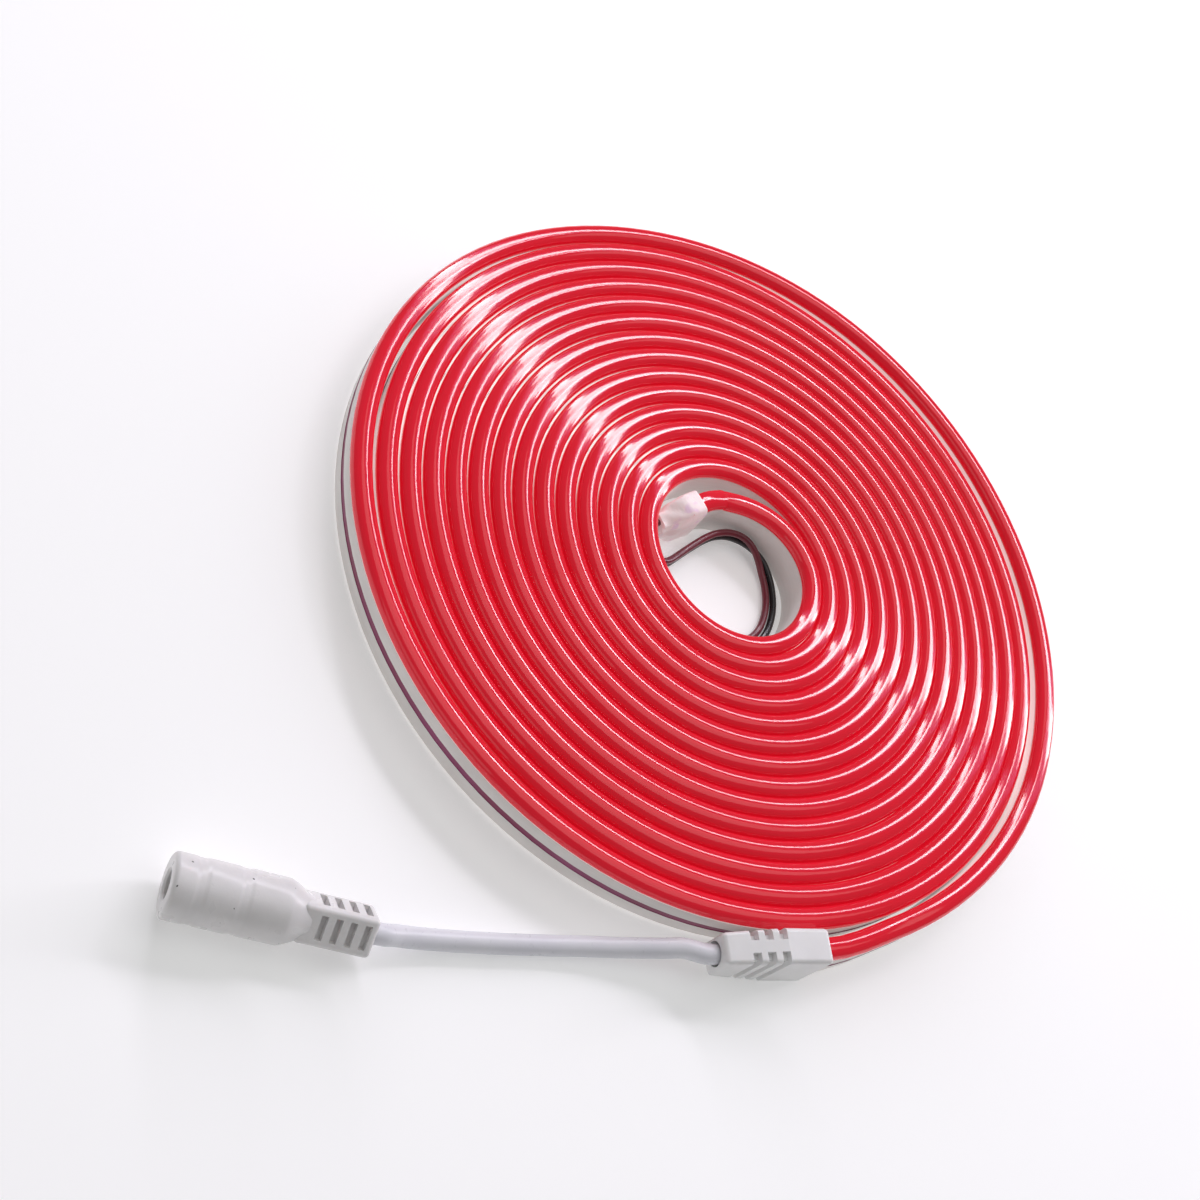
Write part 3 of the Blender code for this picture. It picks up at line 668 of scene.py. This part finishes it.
@dataclass(frozen=True)
class Winding:
    """The line that the strip follows, from the lead's cap to the tail's.

    It is the CAD's line, but the outermost turn rides up and the tail's cap is turned less.
    """

    width: float = 0.0047
    pitch: float = 0.00505
    turns: int = 13
    bore: float = 0.02445
    start: float = math.radians(-37)
    tail_sweep: float = math.radians(200)
    bore_shift: float = 0.0034
    bore_shift_angle: float = math.radians(22)
    oval: float = 0.0006
    loose_gap: float = 0.00135
    pinched_gap: float = 0.0007
    loose_lift: float = 0.0019
    pinched: tuple = (0.01, math.radians(13))
    opens: tuple = arc(22, 55)
    rises: tuple = arc(3, 24)
    sinks: tuple = arc(135, 200)
    tight_gap: float = 0.0004
    tightens: tuple = arc(110, 195)
    tail_leaves: tuple = arc(70, 160)
    tail_inset: float = 0.0036
    lift_sweep: float = math.radians(45)
    end_lift: float = 0.0010
    cap_width: float = 0.0076
    cap_rim_gap: float = 0.0004
    cap_turn: float = math.radians(-4)
    tail_cap_turn: float = math.radians(2)
    pocket: float = 0.0050
    clearance: float = 0.0003
    flex_height: float = 0.0120
    tail_straight: float = 0.0030
    free_end: float = math.radians(24)
    stations: int = 120
    settle: float = math.radians(60)
    wander: float = 0.00004
    ride_up: float = 0.00011
    nudges: tuple = (Nudge(237, 42, 0.00024), Nudge(597, 44, 0.00006), Nudge(957, 40, -0.00010),
                     Nudge(1480, 60, 0.00006), Nudge(2600, 80, -0.00005))

    @property
    def rim(self) -> float:
        """Spiral radius of the tight turns' outer edge."""
        return self.bore + self.turns * self.pitch

    def place(self, radius: float, angle: float, height: float) -> Vector:
        """A place on the reel, whose bore lies off centre and which is a little oval.

        Args:
            radius: Spiral radius.
            angle: Angle round the winding axis.
            height: Height above the floor.

        Returns:
            The place in the model's frame.
        """
        share = max(0.0, (self.rim - radius) / (self.rim - self.bore))
        radius += self.bore_shift * share * math.cos(angle - self.bore_shift_angle)
        radius += self.oval * math.cos(2 * angle)
        return REEL_AXIS + heading(angle) * radius + Vector((0.0, 0.0, height))

    def gap_inside(self, sweep: float) -> float:
        """Gap inside the outermost turn at a sweep from the lead."""
        cap_middle = (self.rim + self.cap_rim_gap + self.cap_width / 2) / math.cos(self.cap_turn)
        cap_gap = cap_middle - self.width / 2 - self.rim
        wide = cap_gap + (self.pinched_gap - cap_gap) * smooth_step(sweep, *self.pinched)
        wide += (self.loose_gap - self.pinched_gap) * smooth_step(sweep, *self.opens)
        return wide + (self.tight_gap - wide) * smooth_step(sweep, *self.tightens)

    def ride(self, sweep: float) -> float:
        """How far the outermost turn rides up over its neighbour at a sweep from the lead."""
        rise = smooth_step(sweep, *self.rises)
        return self.loose_lift * rise * (1 - smooth_step(sweep, *self.sinks))

    def loose_middle(self, sweep: float) -> float:
        """Spiral radius of the outermost turn's middle."""
        return self.rim - self.pitch * sweep / TURN + self.gap_inside(sweep) + self.width / 2

    def tail_middle(self, sweep: float) -> float:
        """Spiral radius of the tail's middle."""
        inset = self.tail_inset * smooth_step(sweep, *self.tail_leaves)
        return self.bore - self.pitch * sweep / TURN - self.tight_gap - inset - self.width / 2

    def middle(self, sweep: float) -> float:
        """Spiral radius of the strip's middle at a sweep from the lead, all the way in."""
        wound = self.rim + self.pitch * (0.5 - sweep / TURN)
        tail_start = TURN * (self.turns + 1)
        if sweep < TURN:
            share = smooth_step(sweep, TURN - self.settle, TURN)
            return self.loose_middle(sweep) * (1 - share) + wound * share
        if sweep > tail_start:
            share = smooth_step(sweep - tail_start, 0.0, self.settle)
            return wound * (1 - share) + self.tail_middle(sweep - tail_start) * share
        return wound

    def lead_end(self) -> tuple[Vector, float]:
        """Middle of the lead cap's mouth at the floor, and the way that the cap runs."""
        place = self.place(self.loose_middle(0.0), self.start, 0.0)
        return place, self.start - math.pi / 2 + self.cap_turn

    def tail_end(self) -> tuple[Vector, float]:
        """Middle of the tail cap's mouth at the floor, and the way that the cap runs."""
        angle = self.start + self.tail_sweep
        place = self.place(self.tail_middle(self.tail_sweep), angle, 0.0)
        return place, angle + math.pi / 2 + self.tail_cap_turn

    def strip_line(self) -> list[Vector]:
        """The middle of the strip's foot, from the lead cap's pocket to the tail cap's."""
        up = Vector((0.0, 0.0, self.end_lift))
        mouth, angle = self.lead_end()
        line = [mouth + heading(angle) * self.pocket + up]
        total = TURN * (self.turns + 1) + self.tail_sweep
        count = round(total / TURN * self.stations)
        for index in range(count):
            sweep = total * index / count
            if sweep > total - self.free_end:
                break
            loose = smooth_step(sweep, 0.0, self.lift_sweep)
            loose *= smooth_step(total - sweep, 0.0, self.lift_sweep)
            lift = self.end_lift * (1 - loose)
            wave = math.sin(1.13 * sweep + 0.9 * math.sin(0.37 * sweep))
            lift = max(lift + loose * self.ride_up * (1 + wave), self.ride(sweep))
            out = self.wander * loose * math.sin(2.31 * sweep + 1.0) * math.cos(0.83 * sweep)
            out += sum(nudge.at(sweep) for nudge in self.nudges)
            line.append(self.place(self.middle(sweep) + out, self.start + sweep, lift))
        mouth, angle = self.tail_end()
        straight = [mouth + heading(angle) * depth + up
                    for depth in (-self.tail_straight, 0.0, self.pocket)]
        joined = smooth_route([line[-2], line[-1], *straight], 30)
        return line[:-1] + joined[8:]

    def pocket_cutter(self) -> Piece:
        """The block that cuts the strip's pocket into a cap modelled along +X."""
        room = self.clearance
        half = self.width / 2 + room
        return Bench.block("pocket", (-self.pocket, -half, self.end_lift - room),
                           (self.pocket + room, half, self.end_lift + self.flex_height + room))


@dataclass(frozen=True)
class StripSection:
    """Outlines of the strip's white base and of its red dome."""

    width: float = 0.0047
    base_height: float = 0.0092
    height: float = 0.0120
    dome_foot: float = 0.00925
    dome_edge: float = 0.0097
    foot_round: float = 0.00035
    top_round: float = 0.00012
    line_height: float = 0.0048
    line_half: float = 0.00088
    line_depth: float = 0.00012
    dome_steps: int = 18
    dome_over: float = 0.0001
    dome_power: float = 0.88

    def base(self) -> tuple[Outline, set[int]]:
        """The base's outline, and the points after which the side line runs, on one side only."""
        half = self.width / 2
        low, high = self.line_height - self.line_half, self.line_height + self.line_half
        slope = self.line_depth
        side = [(half, low), (half - slope, low + slope), (half - slope, high - slope), (half, high)]
        foot = quarter((half - self.foot_round, self.foot_round), self.foot_round, 270)
        top = quarter((half - self.top_round, self.base_height - self.top_round),
                      self.top_round, 0, 2)
        plain = [(-x, y) for x, y in reversed(foot + top)]
        first = len(foot)
        return foot + side + top + plain, {first, first + 1, first + 2}

    def dome(self) -> Outline:
        """The dome's outline: flat under, upright for a little, then rounded."""
        half = self.width / 2 + self.dome_over
        rise = self.height - self.dome_edge
        foot = self.width / 2 - self.dome_over
        points = [(-foot, self.dome_foot), (foot, self.dome_foot)]
        for step in range(self.dome_steps + 1):
            angle = math.pi * step / self.dome_steps
            across = math.copysign(abs(math.cos(angle)) ** self.dome_power, math.cos(angle))
            up = math.sin(angle) ** self.dome_power
            points.append((half * across, self.dome_edge + rise * up))
        return points


class FlexStrip:
    """The wound strip: a white base with its side line, and the red dome on it."""

    def __init__(self, winding: Winding) -> None:
        """Keeps the winding that the strip follows."""
        self.winding = winding
        self.section = StripSection(width=winding.width)

    def build(self) -> None:
        """Sweeps both layers along the whole winding."""
        line = self.winding.strip_line()
        outline, marked = self.section.base()
        base = Bench.sweep("strip_base", line, outline, marked=lambda index: int(index in marked))
        dome = Bench.sweep("strip_dome", line, self.section.dome())
        for piece in (base, dome):
            Bench.finish(piece, Matrix.Identity(4), sharp=40.0)
        dress(base, Slot.BASE, (BASE_SILICONE.make(), SIDE_LINE.make()), ("flex_base",))
        dress(dome, Slot.DIFFUSER, (RED_DIFFUSER.make(),), ("flex_diffuser",))


@dataclass
class LeadCap:
    """The moulded cap on the lead's end of the strip: a block, three rows of slots and a taper."""

    winding: Winding
    length: float = 0.0248
    width: float = 0.0076
    height: float = 0.0140
    block: float = 0.0108
    end_width: float = 0.0068
    end_height: float = 0.0088
    corner: float = 0.0010
    slots: int = 3
    slot_width: float = 0.0018
    slot_pitch: float = 0.0032
    rib: float = 0.0013
    slot_depth: float = 0.0016
    side_depth: float = 0.0010
    cable: float = 0.0043
    seat: float = 0.0020
    seat_room: float = 0.0005
    edge: float = 0.00022
    pocket_corner: float = 0.0008

    def shell(self, name: str, off_side: float, off_top: float) -> Piece:
        """The cap's plain tapered body.

        Args:
            name: The piece's name.
            off_side: How far its sides lie inside the cap's.
            off_top: How far its top and bottom lie inside the cap's.

        Returns:
            The body.
        """
        half = self.width / 2 - off_side
        body = Bench.block(name, (0.0, -half, off_top), (self.length, half, self.height - off_top))
        Bench.slice(body, self.block)
        Bench.edit(body, lambda normal: normal.x > 0.9)
        shrink = ((self.end_width / 2 - off_side) / half,
                  (self.end_height / 2 - off_top) / (self.height / 2 - off_top))
        bpy.ops.transform.resize(value=(1.0, *shrink),
                                 center_override=(self.length, 0.0, self.height / 2))
        Bench.close_edit()
        return body

    def slot_cutter(self) -> Piece:
        """All the slots: full rings, less the core and the rib that stay."""
        far = self.height
        ring = Bench.block("slot", (self.block, -far, -far),
                           (self.block + self.slot_width, far, 2 * far))
        rings = [Bench.copy(ring, Matrix.Translation((index * self.slot_pitch, 0.0, 0.0)))
                 for index in range(1, self.slots)]
        cutter = Bench.join([*rings, ring])
        Bench.cut(cutter, self.shell("core", self.side_depth, self.slot_depth))
        Bench.cut(cutter, Bench.block("rib", (0.0, -self.rib, -2 * far),
                                      (2 * far, self.rib, 3 * far)))
        return cutter

    def build(self) -> None:
        """Models the cap and puts it on the strip's end."""
        cap = self.shell("lead_cap", 0.0, 0.0)
        Bench.soften(cap, self.corner, 5)
        Bench.cut(cap, self.slot_cutter())
        pocket = self.winding.pocket_cutter()
        Bench.soften(pocket, self.pocket_corner, 3)
        Bench.cut(cap, pocket)
        Bench.cut(cap, Bench.rod("seat", self.cable / 2 + self.seat_room, self.length - self.seat,
                                 self.length + self.seat, self.height / 2))
        Bench.soften(cap, self.edge, 2, 40.0)
        Bench.finish(cap, set_down(*self.winding.lead_end()), weighted=True)
        finish = moulded("cap_plastic", (0.83, 0.825, 0.82), (0.78, 0.775, 0.77))
        dress(cap, Slot.CAP, (finish.make(),), ("lead_end_cap",))


@dataclass
class TailSleeve:
    """The soft sleeve on the strip's far end, slanted at its mouth and creased where it narrows."""

    winding: Winding
    length: float = 0.0120
    width: float = 0.0066
    height: float = 0.0138
    end_width: float = 0.0047
    end_height: float = 0.0067
    lip: float = 0.0020
    mouth: float = 0.0010
    cuts: int = 15
    crease: float = 0.00022

    def shaped(self, place: Vector) -> Vector:
        """Where a point of the plain block goes on the shaped sleeve.

        Args:
            place: A point of the block.

        Returns:
            Its place on the sleeve.
        """
        along = place.x / self.length
        across = place.y / (self.width / 2)
        up = (place.z - self.height / 2) / (self.height / 2)
        power = 7.0 - 4.2 * smooth_step(along, 0.2, 1.0)
        size = (abs(across) ** power + abs(up) ** power) ** (1 / power)
        square = max(abs(across), abs(up))
        round_off = square / size if size > 0 else 1.0
        narrow = smooth_step(along, 0.42, 1.0)
        half_width = self.width / 2 * (1 - narrow) + self.end_width / 2 * narrow
        half_height = self.height / 2 * (1 - narrow) + self.end_height / 2 * narrow
        fold = self.crease * smooth_step(along, 0.25, 0.75) * square
        fold *= math.sin(9.0 * up + 5.0 * along) + 0.6 * math.sin(17.0 * along + 4.0 * across)
        slant = self.lip * (1 - place.z / self.height) * (1 - along)
        return Vector((place.x - slant, across * round_off * (half_width + fold),
                       self.height / 2 + up * round_off * (half_height + fold * 1.4)))

    def build(self) -> None:
        """Models the sleeve and puts it on the strip's end."""
        half = self.width / 2
        sleeve = Bench.block("tail_sleeve", (self.mouth, -half, 0.0),
                             (self.length, half, self.height))
        Bench.edit(sleeve)
        bpy.ops.mesh.subdivide(number_cuts=self.cuts)
        Bench.close_edit()
        for vertex in sleeve.data.vertices:
            vertex.co = self.shaped(vertex.co)
        Bench.cut(sleeve, self.winding.pocket_cutter())
        Bench.finish(sleeve, set_down(*self.winding.tail_end()), 50.0)
        dress(sleeve, Slot.SLEEVE, (SLEEVE_VINYL.make(),), ("tail_end_cap",))


@dataclass
class Socket:
    """The round DC socket: a barrel with two faint bands, a shoulder and a slotted relief."""

    radius: float = 0.0062
    barrel: float = 0.0219
    rim: float = 0.0009
    shoulder: float = 0.0043
    band_depth: float = 0.00018
    band_width: float = 0.0028
    bands: tuple = (0.0038, 0.0118)
    bore: float = 0.00275
    depth: float = 0.0100
    lead_in: float = 0.0004
    pin_radius: float = 0.00105
    pin_back: float = 0.0010
    relief: float = 0.0126
    relief_width: float = 0.0079
    relief_corner: float = 0.0010
    roll: float = math.radians(42)
    slots: int = 4
    slot_width: float = 0.0013
    slot_pitch: float = 0.0028
    slot_length: float = 0.0048
    slot_depth: float = 0.0015
    collar: float = 0.0014
    cable: float = 0.0043
    seat: float = 0.0015
    clearance: float = 0.0003
    angle: float = math.radians(-143)
    cable_end: tuple = (0.0082, -0.1291)
    pieces: list = field(default_factory=list)

    @property
    def length(self) -> float:
        """From the mouth to the cable."""
        return self.barrel + self.shoulder + self.relief

    def cable_seat(self) -> Vector:
        """Middle of the relief's end, where the cable goes in."""
        return REEL_AXIS + Vector((*self.cable_end, self.radius + self.clearance))

    def place(self) -> Matrix:
        """Where the socket, modelled along +X from its mouth, goes."""
        mouth = self.cable_seat() + heading(self.angle) * self.length
        return set_down(mouth, self.angle + math.pi)

    def profile(self) -> Outline:
        """Half of the barrel's outline, from the bore's floor to the back of the shoulder."""
        points = [(self.depth, 0.0), (self.depth, self.bore), (self.lead_in, self.bore),
                  (0.0, self.bore + self.lead_in)]
        points += [(x, -y) for x, y in
                   quarter((self.rim, -self.radius + self.rim), self.rim, 180, 6)]
        for start in self.bands:
            for step in range(9):
                share = step / 8
                edge = smooth_step(share, 0.0, 0.3) * (1 - smooth_step(share, 0.7, 1.0))
                points.append((start + self.band_width * share,
                               self.radius - self.band_depth * edge))
        points.append((self.barrel - 0.0012, self.radius))
        end_radius = self.relief_width / 2 * 1.04
        for step in range(11):
            share = step / 10
            drop = 0.55 * share + 0.45 * smooth_step(share, 0.0, 1.0)
            points.append((self.barrel - 0.0004 + (self.shoulder + 0.0004) * share,
                           self.radius - (self.radius - end_radius) * drop))
        return points + [(self.barrel + self.shoulder, 0.0)]

    def barrel_body(self) -> Piece:
        """The barrel, spun from its outline."""
        outline = Bench.line("socket_barrel", [(x, 0.0, y) for x, y in self.profile()])
        Bench.pick(outline)
        bpy.ops.object.convert(target="MESH")
        body = Bench.named("socket_barrel")
        bpy.context.tool_settings.mesh_select_mode = (True, False, False)
        bpy.ops.object.mode_set(mode="EDIT")
        bpy.ops.mesh.select_all(action="SELECT")
        bpy.ops.mesh.spin(steps=96, angle=TURN, center=(0.0, 0.0, 0.0), axis=(1.0, 0.0, 0.0))
        Bench.close_edit()
        Bench.tidy(body)
        return body

    def relief_body(self) -> Piece:
        """The square relief with slots on its four sides."""
        half = self.relief_width / 2
        end = self.length
        body = Bench.block("socket_relief", (self.barrel + self.shoulder / 2, -half, -half),
                           (end, half, half))
        Bench.soften(body, self.relief_corner, 5)
        first = end - self.collar - self.slot_width
        slot = Bench.block("slot", (first, -self.slot_length / 2, half - self.slot_depth),
                           (first + self.slot_width, self.slot_length / 2, half + self.slot_depth))
        slots = [slot]
        for side in range(4):
            turn = Matrix.Rotation(side * math.pi / 2, 4, "X")
            for index in range(self.slots):
                if side or index:
                    move = Matrix.Translation((-index * self.slot_pitch, 0.0, 0.0))
                    slots.append(Bench.copy(slot, turn @ move))
        Bench.cut(body, Bench.join(slots))
        Bench.cut(body, Bench.rod("seat", self.cable / 2 + self.clearance, end - self.seat,
                                  end + self.seat))
        Bench.soften(body, 0.0002, 2, 40.0)
        body.data.transform(Matrix.Rotation(self.roll, 4, "X"))
        return body

    def build(self) -> None:
        """Models the socket's pieces and puts them on the lead's end."""
        finish = moulded("socket_plastic", (0.79, 0.775, 0.77), (0.73, 0.715, 0.71),
                         (0.24, 0.36), 0.85).make()
        barrel, relief = self.barrel_body(), self.relief_body()
        Bench.finish(barrel, self.place())
        Bench.finish(relief, self.place(), weighted=True)
        dress(barrel, Slot.JACK, (finish,), ("jack_housing",))
        dress(relief, Slot.JACK, (finish,))
        pin = Bench.rod("socket_pin", self.pin_radius, self.pin_back, self.depth + self.seat,
                        sides=32)
        Bench.soften(pin, self.pin_radius * 0.45, 4)
        Bench.finish(pin, self.place())
        dress(pin, Slot.CONTACT, (tinned("tinned_metal").make(),), ("jack_pin",))
        self.pieces += [barrel, relief, pin]


@dataclass
class Lead:
    """The white cable from the cap to the socket."""

    winding: Winding
    cap: LeadCap
    socket: Socket
    diameter: float = 0.0043
    lie: float = 0.00245
    points: int = 90
    length: float = 0.0760
    middle: tuple = (
        (0.0540, -0.0799, 0.0039), (0.0511, -0.0829, 0.0030), (0.0476, -0.0864, 0.0019),
        (0.0435, -0.0906, 0.0009), (0.0387, -0.0956, 0.0003), (0.0336, -0.1012, 0.0),
        (0.0282, -0.1072, 0.0), (0.0227, -0.1131, 0.0), (0.0183, -0.1178, 0.0003),
        (0.0145, -0.1220, 0.0012), (0.0119, -0.1250, 0.0024))

    def build(self) -> None:
        mouth, angle = self.winding.lead_end()
        way = heading(angle)
        leaves = mouth + way * self.cap.length + Vector((0.0, 0.0, self.cap.height / 2))
        seat = self.cap.seat - self.winding.clearance
        into = heading(self.socket.angle)
        end = self.socket.cable_seat()
        route = [leaves - way * seat, leaves + way * self.diameter / 2]
        route += [REEL_AXIS + Vector((x, y, self.lie + up)) for x, y, up in self.middle]
        route += [end - into * self.diameter / 2, end + into * seat]
        cable = Bench.tube("lead_cable_jacket", smooth_route(route, self.points), self.diameter)
        finish = vinyl("cable_vinyl", (0.79, 0.79, 0.83), (0.73, 0.73, 0.78))
        dress(cable, Slot.CABLE, (finish.make(),), ("lead_cable",))


@dataclass
class TailWires:
    """The red and the black wire, from the sleeve round the bore, with bare tinned ends."""

    winding: Winding
    sleeve: TailSleeve
    diameter: float = 0.0017
    spacing: float = 0.0020
    lie: float = 0.00115
    gap: float = 0.0003
    inside: float = 0.0012
    bare_length: float = 0.0050
    bare_diameter: float = 0.0012
    stacked_until: float = 0.50
    flat_from: float = 0.63
    points: int = 150
    length: float = 0.094
    middle: tuple = (
        (-0.0156, -0.0100, 0.0057), (-0.0150, -0.0119, 0.0051), (-0.0134, -0.0133, 0.0044),
        (-0.0113, -0.0137, 0.0036), (-0.0092, -0.0131, 0.0029), (-0.0077, -0.0113, 0.0022),
        (-0.0070, -0.0086, 0.0016), (-0.0067, -0.0055, 0.0013), (-0.0064, -0.0022, 0.0012),
        (-0.0060, 0.0012, 0.0012), (-0.0055, 0.0046, 0.0013), (-0.0045, 0.0081, 0.0014),
        (-0.0025, 0.0115, 0.0014), (0.0005, 0.0140, 0.0012), (0.0041, 0.0151, 0.0009),
        (0.0079, 0.0149, 0.0005), (0.0114, 0.0133, 0.0002), (0.0144, 0.0109, 0.0),
        (0.0169, 0.0079, 0.0), (0.0188, 0.0044, 0.0), (0.0200, 0.0006, 0.0),
        (0.0201, -0.0033, 0.0), (0.0188, -0.0070, 0.0), (0.0167, -0.0104, 0.0),
        (0.0138, -0.0128, 0.0), (0.0103, -0.0143, 0.0), (0.0066, -0.0148, 0.0))

    def pair_line(self) -> tuple[list[Vector], Vector]:
        """The middle line of the pair, and where it leaves the sleeve."""
        mouth, angle = self.winding.tail_end()
        leaves = mouth + heading(angle) * (self.sleeve.length + self.gap)
        leaves.z = self.sleeve.height / 2
        route = [leaves] + [REEL_AXIS + Vector((x, y, self.lie + up)) for x, y, up in self.middle]
        return smooth_route(route, self.points), leaves

    def wire_lines(self, line: Sequence[Vector]) -> tuple[list[Vector], list[Vector]]:
        """Middle lines of the two wires, one over the other at first and then side by side.

        Args:
            line: The pair's middle line.

        Returns:
            The red wire's line and the black one's.
        """
        red, black = [], []
        for index, place in enumerate(line):
            along = line[min(len(line) - 1, index + 1)] - line[max(0, index - 1)]
            sideways = along.normalized().cross(Vector((0.0, 0.0, 1.0))).normalized()
            share = index / (len(line) - 1)
            turn = math.pi / 2 * (1 - smooth_step(share, self.stacked_until, self.flat_from))
            offset = sideways * math.cos(turn) + Vector((0.0, 0.0, math.sin(turn)))
            raised = place + Vector((0.0, 0.0, self.spacing / 2 * math.sin(turn)))
            red.append(raised + offset * self.spacing / 2)
            black.append(raised - offset * self.spacing / 2)
        return red, black

    def bare_end(self, name: str, line: Sequence[Vector]) -> Piece:
        """The twisted bare strands on a wire's end."""
        along = (line[-1] - line[-2]).normalized()
        strands, steps = 7, 24
        outline = []
        for index in range(strands * 6):
            angle = TURN * index / (strands * 6)
            radius = self.bare_diameter / 2 * (0.86 + 0.14 * abs(math.cos(angle * strands / 2)))
            outline.append((radius * math.cos(angle), radius * math.sin(angle)))
        places = [line[-1] + along * self.bare_length * index / steps for index in range(steps + 1)]
        piece = Bench.sweep(name, places, outline, twist=TURN * 0.9)
        Bench.finish(piece, Matrix.Identity(4), 45.0)
        return piece

    def build(self) -> None:
        line, leaves = self.pair_line()
        metal = tinned("tinned_strands").make()
        inward = (line[0] - line[1]).normalized() * self.inside
        red = vinyl("red_wire_vinyl", (0.19, 0.016, 0.032), (0.13, 0.010, 0.022),
                    (0.30, 0.42), 0.15)
        black = vinyl("black_wire_vinyl", (0.010, 0.008, 0.010), (0.016, 0.013, 0.015),
                      (0.24, 0.36), 0.2)
        kinds = ((Slot.WIRE_RED, red), (Slot.WIRE_BLACK, black))
        for places, (slot, finish) in zip(self.wire_lines(line), kinds):
            node = "tail_" + slot.value
            end = self.bare_end(slot.value + "_strands", places)
            dress(end, Slot.CONTACT, (metal,), (node + "_bare_end",))
            wire = Bench.tube(slot.value + "_sheath", [places[0] + inward, *places], self.diameter)
            dress(wire, slot, (finish.make(),), (node,))


# --- The photographer's side ---


@dataclass(frozen=True)
class Softbox:
    """A rectangular light that faces the reel, if asked with a wider lilac one close behind it."""

    name: str
    place: tuple
    size: tuple
    radiance: float
    along: tuple = (1.0, 0.0, 0.0)
    halo: float = 0.0
    white: tuple = (1.0, 1.0, 1.0)
    lilac: tuple = (0.72, 0.42, 1.0)

    def hang(self, name: str, place: Vector, size: tuple, radiance: float, colour: tuple) -> None:
        """Hangs one light, its first side as near as can be to the way it runs along.

        Args:
            name: The light's name.
            place: Its middle.
            size: Its two sides.
            radiance: How bright its face is.
            colour: Its colour.
        """
        data = bpy.data.lights.new(name, "AREA")
        data.shape = "RECTANGLE"
        data.size, data.size_y = size
        data.energy = radiance * math.pi * size[0] * size[1]
        data.color = colour
        light = bpy.data.objects.new(name, data)
        bpy.context.scene.collection.objects.link(light)
        back = place.normalized()
        side = Vector(self.along)
        side = (side - back * back.dot(side)).normalized()
        turn = Matrix((side, back.cross(side), back)).transposed().to_4x4()
        light.matrix_world = Matrix.Translation(place) @ turn

    def build(self) -> None:
        """Hangs the light and its halo."""
        place = Vector(self.place)
        self.hang(self.name, place, self.size, self.radiance, self.white)
        if self.halo:
            self.hang(self.name + "_halo", place * 1.04, (self.size[0], self.size[1] * 2.6),
                      self.halo, self.lilac)


@dataclass(frozen=True)
class Studio:
    """The floor, the even light all round, and the softboxes."""

    floor_size: float = 4.0
    floor_drop: float = 0.00005
    even_light: float = 0.17
    lights: tuple = (
        Softbox("left_strip_near", (-0.284, 0.803, 0.803), (0.646, 0.100), 13.0,
                (-0.981, -0.138, -0.139), 1.2),
        Softbox("left_strip_far", (-0.793, 0.732, 0.518), (0.618, 0.110), 14.0,
                (-0.623, -0.088, -0.777), 1.2),
        Softbox("right_strip_near", (0.245, 0.881, 0.746), (0.689, 0.100), 13.0,
                (0.823, 0.252, -0.509), 1.2),
        Softbox("right_strip_far", (0.586, 0.985, 0.369), (0.420, 0.110), 14.0,
                (0.271, 0.083, -0.959), 1.2),
        Softbox("overhead", (0.10, 0.30, 1.60), (1.8, 1.4), 1.0),
        Softbox("front_fill", (-0.5, -1.3, 0.7), (1.2, 0.8), 0.6),
    )

    def build(self) -> None:
        """Lays the floor and hangs the lights."""
        bpy.ops.object.select_all(action="DESELECT")
        bpy.ops.mesh.primitive_plane_add(size=self.floor_size,
                                         location=(0.0, 0.0, -self.floor_drop))
        floor = Bench.named("floor")
        Bench.apply_place(floor)
        floor.data.materials.append(FLOOR_PAPER.make())
        world = bpy.data.worlds.new("studio")
        world.use_nodes = True
        background = world.node_tree.nodes["Background"]
        background.inputs["Color"].default_value = (1.0, 1.0, 1.0, 1.0)
        background.inputs["Strength"].default_value = self.even_light
        bpy.context.scene.world = world
        for light in self.lights:
            light.build()


@dataclass(frozen=True)
class Viewpoint:
    """The photograph's viewpoint, worked out from the reel's outline and its bore."""

    place: tuple = (-0.000969, -0.271240, 0.287927)
    right: tuple = (0.670348, 0.579141, 0.463929)
    up: tuple = (-0.741579, 0.500641, 0.446564)
    lens: float = 49.819
    sensor: float = 36.0

    def build(self) -> None:
        """Sets up the camera."""
        data = bpy.data.cameras.new("camera")
        data.lens = self.lens
        data.sensor_width = self.sensor
        data.clip_start, data.clip_end = 0.01, 20.0
        camera = bpy.data.objects.new("camera", data)
        bpy.context.scene.collection.objects.link(camera)
        right = Vector(self.right).normalized()
        up = (Vector(self.up) - right * right.dot(Vector(self.up))).normalized()
        turn = Matrix((right, up, right.cross(up))).transposed().to_4x4()
        camera.matrix_world = Matrix.Translation(REEL_AXIS + Vector(self.place)) @ turn
        bpy.context.scene.camera = camera
        bpy.context.scene.view_settings.view_transform = "Standard"


def main() -> None:
    """Builds the camera, the cords, the other pieces and the studio, in order."""
    logging.basicConfig(level=logging.INFO, format="%(name)s: %(message)s")
    Viewpoint().build()
    winding = Winding()
    cap, sleeve, socket = LeadCap(winding), TailSleeve(winding), Socket()
    socket.build()
    Lead(winding, cap, socket).build()
    TailWires(winding, sleeve).build()
    cap.build()
    sleeve.build()
    FlexStrip(winding).build()
    Studio().build()


if __name__ == "__main__":
    main()
